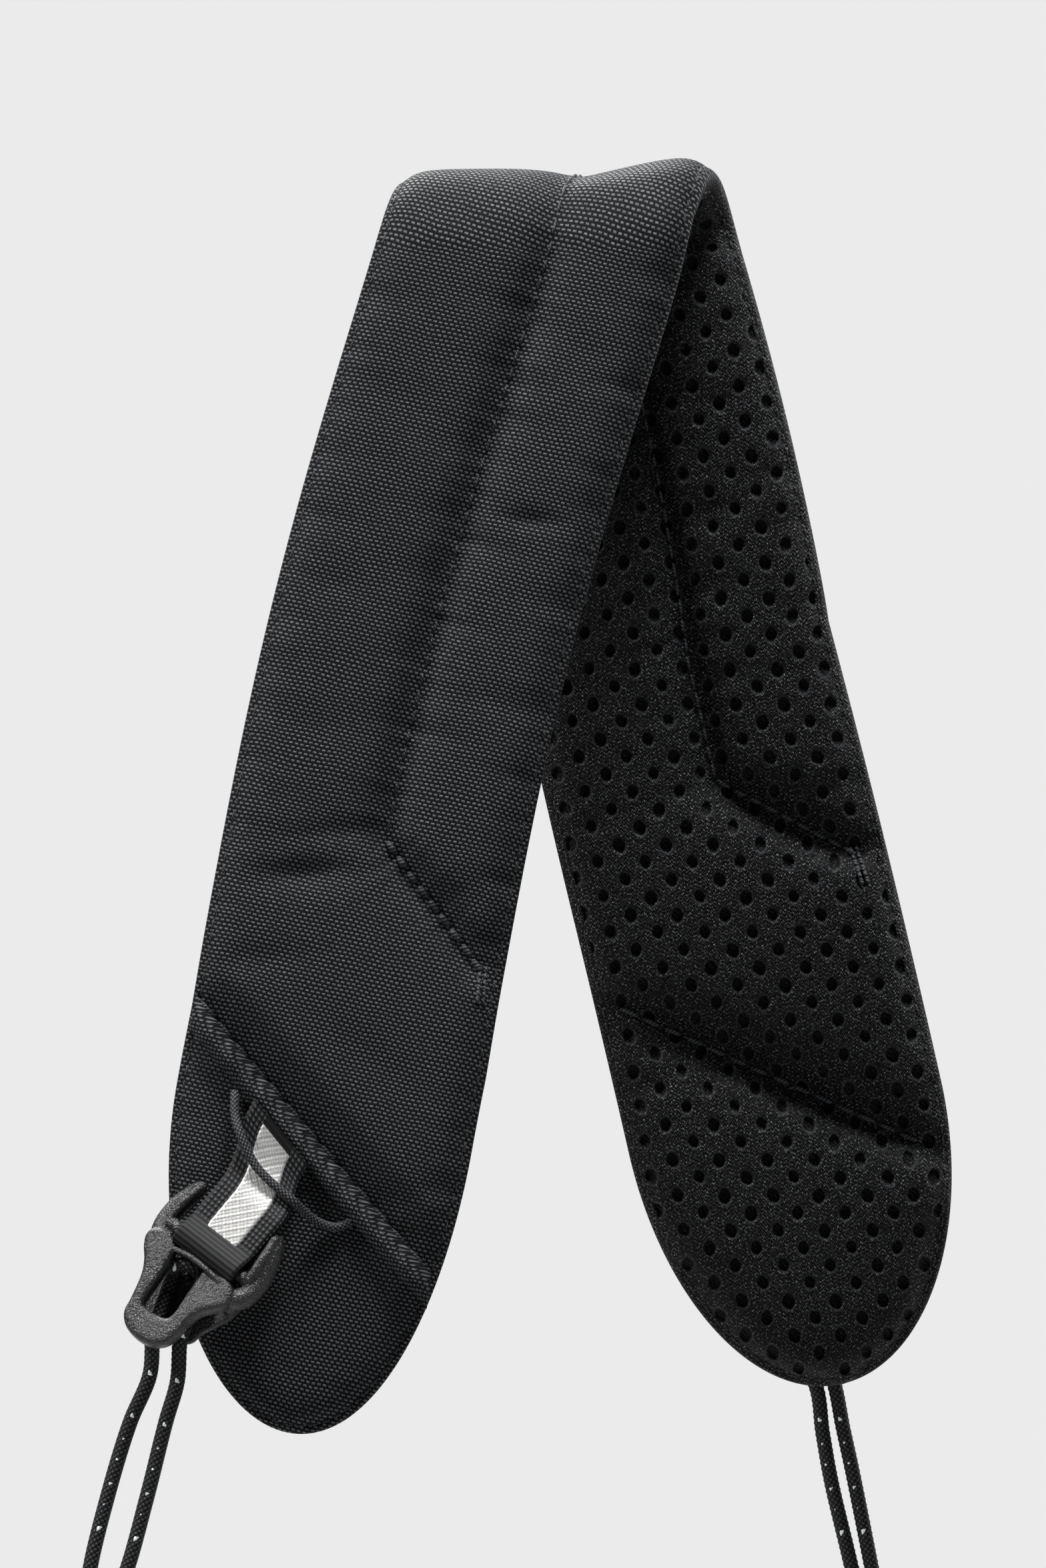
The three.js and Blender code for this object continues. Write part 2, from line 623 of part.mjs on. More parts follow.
// Routes of the two strands from the hook down to the knot, in s, w and t.
const STRANDS = {
  front: {
    left: [[240, -19.4, 8.8], [249.7, -20.9, 8.5], [264, -21.7, 8.2], [279.7, -21.6, 8], [288, -20.2, 8]],
    right: [[240, -14, 9.2], [248, -14.3, 8.8], [263, -14.4, 8.4], [277.8, -14.9, 8], [288, -16.6, 8]],
  },
  rear: {
    left: [[250, -7, 9.8], [260, -7.8, 9], [269.5, -8.4, 8.4], [284, -8.5, 8], [293, -8.6, 8]],
    right: [[250, -3.4, 9.8], [260, -3.7, 9.2], [268, -3.9, 8.6], [284.8, -4.6, 8], [293, -5, 8]],
  },
};

function addCord(name, end, shift) {
  const place = hookFrame(shift);
  const limb = toLimb(end);
  const lean = new THREE.Vector2(sin(CORD_LEAN), -cos(CORD_LEAN));
  const beside = new THREE.Vector2(cos(CORD_LEAN), sin(CORD_LEAN));
  const inHook = (sideways, forward) => {
    const v = POST.v + beside.x * sideways + lean.x * forward;
    const u = POST.u + beside.y * sideways + lean.y * forward;
    return limb(place(u, v, CORD_LEVEL));
  };
  const bight = [inHook(-BIGHT_RADIUS, 4), inHook(-BIGHT_RADIUS, 2)];
  for (let k = 0; k <= 6; k += 1) {
    const turn = (PI * k) / 6;
    bight.push(inHook(-BIGHT_RADIUS * cos(turn), -BIGHT_RADIUS * sin(turn)));
  }
  bight.push(inHook(BIGHT_RADIUS, 2), inHook(BIGHT_RADIUS, 4));
  add(`${name}_cord_bight`, tube(bight, CORD_RADIUS, 14), 'cord');
  for (const [side, sideways] of [['left', -BIGHT_RADIUS], ['right', BIGHT_RADIUS]]) {
    const route = STRANDS[name][side].map(([s, w, t]) => limb(new THREE.Vector3(s, w, t)));
    const points = [inHook(sideways, 4.3), inHook(sideways, 8), inHook(sideways, 12), ...route];
    add(`${name}_cord_${side}`, tube(points, CORD_RADIUS, 12), 'cord');
  }
  addKnot(name, end);
}

// The knot that joins the two strands.
function addKnot(name, end) {
  const limb = toLimb(end);
  const [left, right] = ['left', 'right'].map((side) => STRANDS[name][side].at(-1));
  const middle = left.map((x, k) => (x + right[k]) / 2);
  const knot = new THREE.SphereGeometry(KNOT_RADIUS, 12, 8).scale(1.15, 1, 0.85);
  const below = KNOT_RADIUS * 1.15 + 0.5;
  const place = (x, y, z) => limb(new THREE.Vector3(middle[0] + below + x, middle[1] + y, middle[2] + z));
  add(`${name}_cord_knot`, moved(knot, place), 'cord');
}

// ---------------------------------------------------------------- the whole strap

addLining();
addFoam();
addEdgeSeam();
addFace();
addCentreSeam();
for (const [name, end, shift] of [['front', 1, { s: 0, w: 0, lift: 0 }], ['rear', -1, REAR_SHIFT]]) {
  addEndCap(name, end);
  addBartack(name, end);
  addHem(name, end, shift);
  addWebbing(name, end, shift);
  addStripe(name, end, shift);
  addKeeper(name, end, shift);
  addHook(name, end, shift);
  addCord(name, end, shift);
}

export default group;
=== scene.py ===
"""Looks of a padded shoulder strap that hangs from its fold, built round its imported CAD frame.

The strap's own layout is flat, as in the CAD: s runs along the pad from its middle (front limb positive),
w across it, and t is the height above its middle surface, all in millimetres. strap_point() bends that
layout over the shoulder and gives metres. Each end's hardware is laid out in the frame of its hook.
"""

import math

import bmesh
import bpy
import numpy as np
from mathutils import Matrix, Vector

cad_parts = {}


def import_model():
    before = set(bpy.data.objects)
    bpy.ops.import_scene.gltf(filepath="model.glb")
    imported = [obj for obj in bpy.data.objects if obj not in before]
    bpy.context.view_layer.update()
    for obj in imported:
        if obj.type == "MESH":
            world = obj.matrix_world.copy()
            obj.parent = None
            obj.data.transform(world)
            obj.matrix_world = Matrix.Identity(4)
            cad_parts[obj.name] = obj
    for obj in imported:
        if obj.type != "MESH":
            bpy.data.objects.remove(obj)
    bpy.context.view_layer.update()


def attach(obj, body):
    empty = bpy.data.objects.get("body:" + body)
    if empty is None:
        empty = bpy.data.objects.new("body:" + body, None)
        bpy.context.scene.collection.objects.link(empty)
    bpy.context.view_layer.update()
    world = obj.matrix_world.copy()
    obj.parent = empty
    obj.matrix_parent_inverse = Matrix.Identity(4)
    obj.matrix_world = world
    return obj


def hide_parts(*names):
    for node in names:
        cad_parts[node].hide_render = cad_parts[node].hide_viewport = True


MM = 0.001
SEED = 7

# The pad's outline and how it lies over the shoulder, as in the CAD. Each limb's sides start to round in
# at round and end at tip; the limb bows sideways, and its tip swings to plumb.
FRONT = {
    "round": 184, "tip": 244.5, "swing": 8.5, "bow": -3.1, "bow_start": 12, "bow_length": 158, "power": 1.2,
}
REAR = {
    "round": 197, "tip": 250.5, "swing": 1.5, "bow": 2.4, "bow_start": 0, "bow_length": 105, "power": 0.8,
}
HALF_WIDTH = 29
REAR_HALF_WIDTH = 31.2
SWING_START = 150
SWING_LENGTH = 97.5
CORNER_LIFT = 2.8
SLANT = math.radians(13.7)
FOLD_RADIUS = 12
FOLD_ANGLE = math.pi / 2 - math.radians(3)
MIDDLE_AHEAD = 5.7
LINING_HEIGHT = 4.2

# The pad's thickness from its middle surface.
EDGE_HEIGHT = 1.35
FACE_RISE = 4.2
CAP_RISE = 2.9
LINING_RISE = 6.2
ROUNDING = 10.5
RIM = 1.5  # the flat sewn rim outside the topstitching
SOFT_CAP = {"face": 1.7, "lining": 3.0}  # height of blown-up cloth at which the foam holds it back

# The centre seam as (s, w) on the front limb, the rear limb's is at -s, and the slanting hem's line.
SEAM = [(0, 3.7), (130, 2), (150, 24.6)]
HEM_MIDDLE = 189.15
HEM_SLOPE = 0.769
HEM_ANGLE = math.atan(HEM_SLOPE)
HEM_LEFT = -28.6
HEM_RIGHT = 22.4

# Hardware: the webbing starts at TAB_ROOT, in s, w and t, and goes round the hook's crossbar.
WEBBING_WIDTH = 15
TAB_LENGTH = 25.5
TAB_ROOT = (191.3, -6.8, 5.75)
TAB_YAW = math.radians(15.6)
TAB_BLEND = 14
HEM_SHEAR = math.tan(HEM_ANGLE - TAB_YAW)
CROSSBAR = (214.8, -13.7, 11.4)
CROSSBAR_RADIUS = 1.5
HOOK_YAW, HOOK_ROLL, HOOK_PITCH = (math.radians(x) for x in (24, 18, 6))
STRIPE_WIDTH = 7.5
CORD_RADIUS = 1.5
CORD_LEVEL = -3.8
POST = (-1.8, -5.8)  # across and along the hook
BIGHT_RADIUS = 2.8
CORD_LEAN = math.radians(21)
KEEPER_RADIUS = 0.9
KEEPER_CLEAR = 2.07  # from the middle of the webbing to the keeper's underside

# The two ends: their sign along s, and how far their hardware sits from the front's place.
ENDS = {"front": (1, (0, 0, 0)), "rear": (-1, (9.6, 10, 0.5))}

# Routes of the strands from the hook down to the knot, in s, w and t.
STRANDS = {
    ("front", "left"): [(240, -19.4, 8.8), (249.7, -20.9, 8.5), (264, -21.7, 8.2), (279.7, -21.6, 8),
                        (288, -20.2, 8)],
    ("front", "right"): [(240, -14, 9.2), (248, -14.3, 8.8), (263, -14.4, 8.4), (277.8, -14.9, 8),
                         (288, -16.6, 8)],
    ("rear", "left"): [(250, -7, 9.8), (260, -7.8, 9), (269.5, -8.4, 8.4), (284, -8.5, 8), (293, -8.6, 8)],
    ("rear", "right"): [(250, -3.4, 9.8), (260, -3.7, 9.2), (268, -3.9, 8.6), (284.8, -4.6, 8), (293, -5, 8)],
}

# The camera looks along +Y at the middle of the view, which is VIEW_HEIGHT tall.
VIEW_CENTRE = (-4.6, -109.9)
VIEW_HEIGHT = 302.6
LENS = 300
SENSOR = 36


# ---------------------------------------------------------------- the strap's own layout

def bend(across, down, t):
    """Bends the flat sheet over the shoulder: across is along the shoulder, down is past its crest."""
    length = np.abs(down)
    angle = np.minimum(length / FOLD_RADIUS, FOLD_ANGLE)
    straight = length - FOLD_RADIUS * angle
    out = (FOLD_RADIUS + t) * np.sin(angle) + straight * np.cos(angle)
    up = (FOLD_RADIUS + t) * np.cos(angle) - straight * np.sin(angle)
    return np.stack([across, -np.sign(down) * out, up - FOLD_RADIUS + LINING_HEIGHT], -1) * MM


def sheet_point(s, w, t):
    """A point that keeps straight with its limb, as the hardware does."""
    s, w, t = (np.asarray(x, float) for x in (s, w, t))
    across = -math.sin(SLANT) * s + math.cos(SLANT) * w
    down = math.cos(SLANT) * s + math.sin(SLANT) * w + MIDDLE_AHEAD
    return bend(across, down, t)


def of_limb(s, key):
    return np.where(np.asarray(s) < 0, REAR[key], FRONT[key])


def sideways(s):
    """How far the pad's middle line lies to the side."""
    share = np.clip((np.abs(s) - of_limb(s, "bow_start")) / of_limb(s, "bow_length"), 0, 1)
    bow = of_limb(s, "bow") * np.maximum(np.sin(math.pi * share), 0) ** of_limb(s, "power")
    past = np.maximum(0, np.abs(s) - SWING_START) / SWING_LENGTH
    return bow + np.sign(s) * of_limb(s, "swing") * past ** 2


def strap_point(s, w, t):
    """A point of the pad, whose right edge curls up at the fold."""
    place = w + sideways(s)
    down = math.cos(SLANT) * s + math.sin(SLANT) * place + MIDDLE_AHEAD
    lift = CORNER_LIFT * np.exp(-(down / 16) ** 2) * smooth(w, 6, 27)
    return sheet_point(s, place, t + lift)


def side_at(s):
    """Half the distance between the pad's sides, before they round in."""
    return HALF_WIDTH + (REAR_HALF_WIDTH - HALF_WIDTH) * smooth(-s, 10, 150)


def half_width_at(s):
    start = of_limb(s, "round")
    past = np.clip((np.abs(s) - start) / (of_limb(s, "tip") - start), 0, 1)
    return side_at(s) * np.sqrt(1 - past ** 2)


def edge_distance(s, w):
    """How far a point is from the pad's edge."""
    side = side_at(s)
    past = np.maximum(0, np.abs(s) - of_limb(s, "round"))
    long = of_limb(s, "tip") - of_limb(s, "round")
    inside = np.maximum(0, 1 - (past / long) ** 2 - (w / side) ** 2)
    slope = 2 * np.hypot(past / long ** 2, w / side ** 2)
    near_tip = inside / np.maximum(slope, 1e-6)
    return np.where(past > 0, np.minimum(near_tip, side), side - np.abs(w))


def line_distance(s, w, line):
    """Distance from a line of points, and how far along it the nearest place is."""
    best = np.full(np.shape(s), 1e9)
    along = np.zeros(np.shape(s))
    done = 0
    for (s0, w0), (s1, w1) in zip(line, line[1:]):
        ds, dw = s1 - s0, w1 - w0
        length = math.hypot(ds, dw)
        share = np.clip(((s - s0) * ds + (w - w0) * dw) / length ** 2, 0, 1)
        away = np.hypot(s - s0 - share * ds, w - w0 - share * dw)
        nearer = away < best
        best = np.where(nearer, away, best)
        along = np.where(nearer, done + share * length, along)
        done += length
    return best, along


def smooth(x, low, high):
    x = np.clip((x - low) / (high - low), 0, 1)
    return x * x * (3 - 2 * x)


def hem_past(s, w):
    """Distance past the hem's row of stitches, towards the tip."""
    return (np.abs(s) - HEM_MIDDLE - HEM_SLOPE * w) * math.cos(HEM_ANGLE)


def ripple(along, away, pitch, seed):
    """Small puckers that run out from a row of stitches, fading within a few millimetres."""
    rng = np.random.default_rng(SEED + seed)
    wave = np.zeros(np.shape(along))
    for k in range(4):
        stretch = pitch * (0.75 + 0.25 * k)
        wave += np.sin(2 * math.pi * along / stretch + rng.uniform(0, 6.28)) / (k + 1.5)
    return wave * np.exp(-away / 4.5)


# Soft creases of the face: s, w, how long, how wide, how deep, and how far turned from straight across.
CREASES = [
    (64, 15, 6, 2.0, 0.9, -8), (140, -12, 10, 3.2, 1.5, -16), (131, -8, 12, 2.6, 0.7, -20),
    (158, -18, 9, 3.0, 0.6, -14), (112, -16, 10, 4, 0.4, -10), (48, -15, 12, 5, 0.35, 6),
    (85, -20, 9, 4, 0.4, -6), (100, 18, 7, 3.4, 0.35, 10), (30, 17, 8, 3.5, 0.35, -4),
    (172, 8, 12, 4, 0.4, 24), (-60, -10, 10, 3, 0.7, 8), (-118, 14, 9, 3, 0.6, -12),
    (-150, -6, 12, 4, 0.6, 10), (12, -14, 14, 3, 0.4, 4), (-6, 14, 12, 3, 0.5, -6),
]


def creases(s, w):
    depth = np.zeros(np.shape(s))
    for at_s, at_w, long, wide, deep, turn in CREASES:
        turn = math.radians(turn)
        x = (w - at_w) * math.cos(turn) + (s - at_s) * math.sin(turn)
        y = (s - at_s) * math.cos(turn) - (w - at_w) * math.sin(turn)
        depth += deep * np.exp(-(x / long) ** 2 - (np.abs(y) / wide) ** 1.6)
    return depth


def rounded_edge(distance):
    near = np.clip(1 - distance / EDGE_HEIGHT, 0, 1)
    return EDGE_HEIGHT * np.sqrt(1 - near ** 2)


def topstitching(distance):
    return 0.45 * np.exp(-((distance - RIM) / 0.45) ** 2)


def seam_dip(away, depth, width):
    """Share of the puff that is left beside a seam that goes through the pad."""
    return 1 - depth * np.exp(-(away / width) ** 1.25)


def plain_puff(name, s, w):
    """The share of its full height that a sheet rises to, where no cloth has been settled."""
    near = np.clip((edge_distance(s, w) - RIM) / ROUNDING, 0, 1)
    away, _ = line_distance(np.abs(s), w, SEAM)
    puff = (1 - (1 - near) ** 2.4) * seam_dip(away, 0.8, 4.8)
    return puff * seam_dip(np.abs(hem_past(s, w)), 0.85, 6) if name == "lining" else puff


# ---------------------------------------------------------------- cloth that is blown up over the pad's seams

CLOTH_SCALE = 0.1  # cloth units per millimetre
CLOTH_ROWS = 249
CLOTH_COLUMNS = (16, 14)  # left and right of the centre seam
CLOTH_FRAMES = 20
SETTLED = {}  # the share of its full height of each settled sheet, over the cloth's grid


def seam_share(s):
    return np.interp(np.abs(s), (0, SEAM[1][0]), (SEAM[0][1], SEAM[1][1])) / side_at(s)


def cloth_rows():
    return np.linspace(0.4 - REAR["tip"], FRONT["tip"] - 0.4, CLOTH_ROWS)


def cloth_grid():
    """The cloth's grid of s and w: one of its columns lies on the centre seam."""
    s = cloth_rows()[:, None]
    middle = seam_share(s)
    left = -1 + (1 + middle) * np.linspace(0, 1, CLOTH_COLUMNS[0] + 1)[None, :]
    right = middle + (1 - middle) * np.linspace(0, 1, CLOTH_COLUMNS[1] + 1)[None, 1:]
    w = np.concatenate([left, right], 1) * half_width_at(s)
    return np.broadcast_to(s, w.shape), w


def softened(grid):
    """A grid of values, each averaged a little with its neighbours."""
    for axis in (0, 1):
        pad = [(1, 1) if k == axis else (0, 0) for k in (0, 1)]
        wide = np.pad(grid, pad, mode="edge")
        before, after = np.delete(wide, [-1, -2], axis), np.delete(wide, [0, 1], axis)
        grid = (before + 2 * grid + after) / 4
    return grid


def settle(name, pinned, pressure, growth):
    """Blows up a sheet that is sewn down where pinned, and keeps the share of its full height it reaches."""
    s, w = cloth_grid()
    rng = np.random.default_rng(SEED)
    start = np.where(pinned, 0, 0.3) + rng.normal(0, 0.02, s.shape)
    flat = np.stack([s, w, start], -1) * CLOTH_SCALE
    sheet = mesh_piece(name, flat, grid_faces(*s.shape, flip=True))
    group = sheet.vertex_groups.new(name="sewn")
    group.add([int(k) for k in np.flatnonzero(pinned)], 1, "REPLACE")
    cloth = sheet.modifiers.new("cloth", "CLOTH")
    rules = cloth.settings
    rules.vertex_group_mass = "sewn"
    rules.quality = 5
    rules.mass = 0.3
    rules.tension_stiffness = rules.compression_stiffness = 60
    rules.shear_stiffness = 4
    rules.bending_stiffness = 0.3
    rules.air_damping = 2
    rules.use_pressure = True
    rules.uniform_pressure_force = pressure
    rules.shrink_min = -growth
    rules.effector_weights.gravity = 0
    cloth.collision_settings.use_collision = False
    cloth.point_cache.frame_start = 1
    cloth.point_cache.frame_end = CLOTH_FRAMES
    scene = bpy.context.scene
    for frame in range(1, CLOTH_FRAMES + 1):
        scene.frame_set(frame)
    settled = sheet.evaluated_get(bpy.context.evaluated_depsgraph_get()).to_mesh()
    places = np.empty(s.size * 3)
    settled.vertices.foreach_get("co", places)
    height = softened(places.reshape(*s.shape, 3)[..., 2] / CLOTH_SCALE)
    bpy.data.objects.remove(sheet)
    scene.frame_set(1)
    SETTLED[name] = height


def settle_pad():
    """Settles the face and the lining, each sewn down along the pad's rim and seams."""
    s, w = cloth_grid()
    rim = edge_distance(s, w) < RIM + 0.3
    away, _ = line_distance(np.abs(s), w, SEAM)
    seam = away < 1.35
    hem = np.abs(hem_past(s, w)) < 1.35
    settle("face", rim | seam | hem, 1.8, 0.026)
    settle("lining", rim | seam | hem, 2.4, 0.045)


def cubic(x):
    """Weights of the four neighbours of a place between two samples."""
    return (
        ((2 - x) * x - 1) * x / 2,
        ((3 * x - 5) * x * x + 2) / 2,
        ((4 - 3 * x) * x + 1) * x / 2,
        (x - 1) * x * x / 2,
    )


def sample(grid, s, w):
    """A settled sheet's value at any place of the flat layout, smoothly between its vertices."""
    rows = cloth_rows()
    i = np.clip((s - rows[0]) / (rows[1] - rows[0]), 0, len(rows) - 1.001)
    middle = seam_share(s)
    share = np.clip(w / np.maximum(half_width_at(s), 1e-3), -1, 1)
    left, right = CLOTH_COLUMNS
    j = np.where(share < middle, (share + 1) / (middle + 1) * left,
                 left + (share - middle) / (1 - middle) * right)
    j = np.clip(j, 0, left + right - 0.001)
    i0, j0 = np.floor(i).astype(int), np.floor(j).astype(int)
    total = np.zeros(np.broadcast(s, w).shape)
    for a, row_weight in enumerate(cubic(i - i0)):
        row = np.clip(i0 + a - 1, 0, grid.shape[0] - 1)
        for b, column_weight in enumerate(cubic(j - j0)):
            column = np.clip(j0 + b - 1, 0, grid.shape[1] - 1)
            total = total + row_weight * column_weight * grid[row, column]
    return total


def swell(name, s, w):
    """The share of its full height that a sheet of the pad rises to."""
    if name not in SETTLED:
        return plain_puff(name, s, w)
    height = np.maximum(sample(SETTLED[name], s, w), 0)
    return np.tanh(height / SOFT_CAP[name]) * (1 + 0.02 * height)


def face_height(s, w):
    distance = edge_distance(s, w)
    away, along = line_distance(np.abs(s), w, SEAM)
    fade = smooth(SEAM[-1][0] + 4 - np.abs(s), 0, 6)
    past = hem_past(s, w)
    cap = smooth(past, -9, -0.5)
    over = math.cos(SLANT) * s + math.sin(SLANT) * w + MIDDLE_AHEAD
    rise = (FACE_RISE + (CAP_RISE - FACE_RISE) * cap) * (1 - 0.25 * np.exp(-(over / 20) ** 2))
    held = (0.12 + 0.4 * np.exp(-(over / 16) ** 2)) * np.exp(-(away / 5) ** 2) * smooth(distance, RIM, 6)
    puff = swell("face", s, w)
    height = rounded_edge(distance) + rise * (puff + (1 - puff) * held)
    height = height - topstitching(distance)
    height = height + 0.16 * ripple(along, away, 4.2, 1) * fade * smooth(distance, RIM, 8)
    height = height + 0.1 * ripple(w / math.cos(HEM_ANGLE), np.abs(past), 4.6, 2)
    height = height + 0.1 * ripple(s, np.maximum(0, distance - RIM), 5.4, 3) * smooth(distance, 0.5, 4)
    return np.maximum(height - creases(s, w) * smooth(distance, 1, 8) * (1 - 0.7 * cap), 0)


def lining_depth(s, w):
    distance = edge_distance(s, w)
    away, along = line_distance(np.abs(s), w, SEAM)
    fade = smooth(SEAM[-1][0] + 4 - np.abs(s), 0, 6)
    past = np.abs(hem_past(s, w))
    height = rounded_edge(distance) + LINING_RISE * swell("lining", s, w)
    height = height - topstitching(distance) * 0.6
    height = height + 0.2 * ripple(along, away, 4.6, 4) * fade * smooth(distance, RIM, 8)
    height = height + 0.22 * ripple(w / math.cos(HEM_ANGLE), past, 5, 5) * smooth(distance, RIM, 8)
    return -np.maximum(height, 0)


# ---------------------------------------------------------------- meshes

def mesh_piece(name, places, faces, attributes=None, uv=None):
    """A smooth-shaded mesh object from arrays, with float attributes per vertex and one UV map."""
    mesh = bpy.data.meshes.new(name)
    places = np.asarray(places, np.float32).reshape(-1, 3)
    faces = np.asarray(faces, np.int32)
    corners = faces.shape[1]
    mesh.vertices.add(len(places))
    mesh.vertices.foreach_set("co", places.ravel())
    mesh.loops.add(faces.size)
    mesh.loops.foreach_set("vertex_index", faces.ravel())
    mesh.polygons.add(len(faces))
    mesh.polygons.foreach_set("loop_start", np.arange(len(faces), dtype=np.int32) * corners)
    mesh.polygons.foreach_set("use_smooth", np.ones(len(faces), bool))
    mesh.update(calc_edges=True)
    if uv is not None:
        layer = mesh.uv_layers.new(name="flat")
        layer.data.foreach_set("uv", np.asarray(uv, np.float32).reshape(-1, 2)[faces.ravel()].ravel())
    for key, values in (attributes or {}).items():
        attribute = mesh.attributes.new(key, "FLOAT", "POINT")
        attribute.data.foreach_set("value", np.asarray(values, np.float32).ravel())
    mesh.validate()
    piece = bpy.data.objects.new(name, mesh)
    bpy.context.scene.collection.objects.link(piece)
    return piece


def dress(piece, material, body, slot, *replaced):
    """Gives a piece its material, the body that it rides on and the CAD nodes that it stands for."""
    piece.data.materials.append(material)
    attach(piece, body)
    if replaced:
        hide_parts(*replaced)


def grid_faces(rows, columns, start=0, closed=False, flip=False):
    """Quads of a grid of vertices; closed joins its last column to its first."""
    i = np.arange(rows - 1)[:, None]
    j = np.arange(columns if closed else columns - 1)[None, :]
    nxt = (j + 1) % columns
    quads = np.stack([i * columns + j, i * columns + nxt, (i + 1) * columns + nxt, (i + 1) * columns + j], -1)
    quads = quads.reshape(-1, 4) + start
    return quads[:, ::-1] if flip else quads


def join(parts):
    """One set of places, faces, attributes and uv from several."""
    places, faces, count = [], [], 0
    keys = parts[0][2].keys()
    for part_places, part_faces, *_ in parts:
        places.append(part_places.reshape(-1, 3))
        faces.append(part_faces + count)
        count += len(places[-1])
    attributes = {key: np.concatenate([np.ravel(part[2][key]) for part in parts]) for key in keys}
    uv = np.concatenate([part[3].reshape(-1, 2) for part in parts])
    return np.concatenate(places), np.concatenate(faces), attributes, uv


def path_points(points, step):
    """A smooth line through the points, in even steps, by a centripetal Catmull-Rom spline."""
    points = np.asarray(points, float)
    ends = [2 * points[0] - points[1], *points, 2 * points[-1] - points[-2]]
    fine = []
    for p0, p1, p2, p3 in zip(ends, ends[1:], ends[2:], ends[3:]):
        pairs = ((p0, p1), (p1, p2), (p2, p3))
        t = np.cumsum([0, *(max(np.linalg.norm(b - a), 1e-9) ** 0.5 for a, b in pairs)])
        for x in np.linspace(t[1], t[2], 24, endpoint=False):
            a1, a2, a3 = (
                ((t[k + 1] - x) * a + (x - t[k]) * b) / (t[k + 1] - t[k])
                for k, (a, b) in enumerate(pairs)
            )
            b1 = ((t[2] - x) * a1 + (x - t[0]) * a2) / (t[2] - t[0])
            b2 = ((t[3] - x) * a2 + (x - t[1]) * a3) / (t[3] - t[1])
            fine.append(((t[2] - x) * b1 + (x - t[1]) * b2) / (t[2] - t[1]))
    fine = np.array([*fine, points[-1]])
    length = np.concatenate([[0], np.cumsum(np.linalg.norm(np.diff(fine, axis=0), axis=1))])
    count = max(2, round(length[-1] / step) + 1)
    even = np.linspace(0, length[-1], count)
    return np.stack([np.interp(even, length, fine[:, k]) for k in range(3)], -1)


def ring_frames(points):
    """Two directions across a line at each of its points, turned as little as possible."""
    along = np.gradient(points, axis=0)
    along /= np.linalg.norm(along, axis=1)[:, None]
    first = np.cross(along[0], (0.3, 1, 0.2))
    first /= np.linalg.norm(first)
    sides = [first]
    for tangent in along[1:]:
        side = sides[-1] - tangent * np.dot(sides[-1], tangent)
        sides.append(side / np.linalg.norm(side))
    sides = np.array(sides)
    return sides, np.cross(along, sides)


def rope(points, radius, shape, step, turns):
    """A tube with closed ends along points in metres; shape(along, angle) gives its radius as a share."""
    line = path_points(points, step)
    sides, ups = ring_frames(line)
    angle = np.linspace(0, 2 * math.pi, turns, endpoint=False)
    along = np.arange(len(line)) * step
    share, attributes = shape(along[:, None] / MM, angle[None, :])
    reach = radius * share
    reach[[0, -1]] *= 0.02
    around = np.cos(angle)[None, :, None] * sides[:, None] + np.sin(angle)[None, :, None] * ups[:, None]
    places = line[:, None] + reach[..., None] * around
    uv = np.stack(np.broadcast_arrays(along[:, None] / MM, angle[None, :]), -1)
    return places, grid_faces(len(line), turns, closed=True), attributes, uv, line


# ---------------------------------------------------------------- materials

class Graph:
    """Short ways to build a material's nodes."""

    def __init__(self, name):
        self.material = bpy.data.materials.new(name)
        self.material.use_nodes = True
        self.nodes = self.material.node_tree.nodes
        self.links = self.material.node_tree.links
        self.shader = self.nodes["Principled BSDF"]

    def put(self, socket, value):
        if isinstance(value, bpy.types.NodeSocket):
            self.links.new(value, socket)
        else:
            socket.default_value = value

    def add(self, kind, inputs=None, output=0, **settings):
        node = self.nodes.new(kind)
        for key, value in settings.items():
            setattr(node, key, value)
        for key, value in (inputs or {}).items():
            self.put(node.inputs[key], value)
        return node.outputs[output]

    def math(self, operation, a, b=0.0, c=0.0):
        return self.add("ShaderNodeMath", {0: a, 1: b, 2: c}, operation=operation)

    def wave(self, value, pitch):
        return self.math("COSINE", self.math("MULTIPLY", value, 2 * math.pi / pitch))

    def flat(self):
        """The s and w of the flat layout, in millimetres."""
        uv = self.add("ShaderNodeUVMap", uv_map="flat")
        split = self.nodes.new("ShaderNodeSeparateXYZ")
        self.put(split.inputs[0], uv)
        return uv, split.outputs[0], split.outputs[1]

    def attribute(self, name):
        return self.add("ShaderNodeAttribute", output="Fac", attribute_name=name)

    def noise(self, vector, scale, detail=2.0, rough=0.5):
        inputs = {"Vector": vector, "Scale": scale, "Detail": detail, "Roughness": rough}
        return self.add("ShaderNodeTexNoise", inputs, output="Fac")

    def ramp(self, value, low, high, out_low=0.0, out_high=1.0):
        ends = {"From Min": low, "From Max": high, "To Min": out_low, "To Max": out_high}
        return self.add("ShaderNodeMapRange", {"Value": value, **ends})

    def mix(self, share, a, b):
        node = self.nodes.new("ShaderNodeMix")
        node.data_type = "RGBA"
        self.put(node.inputs[0], share)
        self.put(node.inputs[6], a)
        self.put(node.inputs[7], b)
        return node.outputs[2]

    def bump(self, height, distance, strength):
        inputs = {"Height": height, "Distance": distance, "Strength": strength}
        return self.add("ShaderNodeBump", inputs)

    def finish(self, colour, roughness, normal=None, **others):
        self.put(self.shader.inputs["Base Color"], colour)
        self.put(self.shader.inputs["Roughness"], roughness)
        if normal is not None:
            self.put(self.shader.inputs["Normal"], normal)
        for key, value in others.items():
            self.put(self.shader.inputs[key.replace("_", " ")], value)
        return self.material


def grey(level, tint=0.06):
    """A near-neutral colour, a little blue."""
    return (level * (1 - tint), level, level * (1 + tint * 1.4), 1)


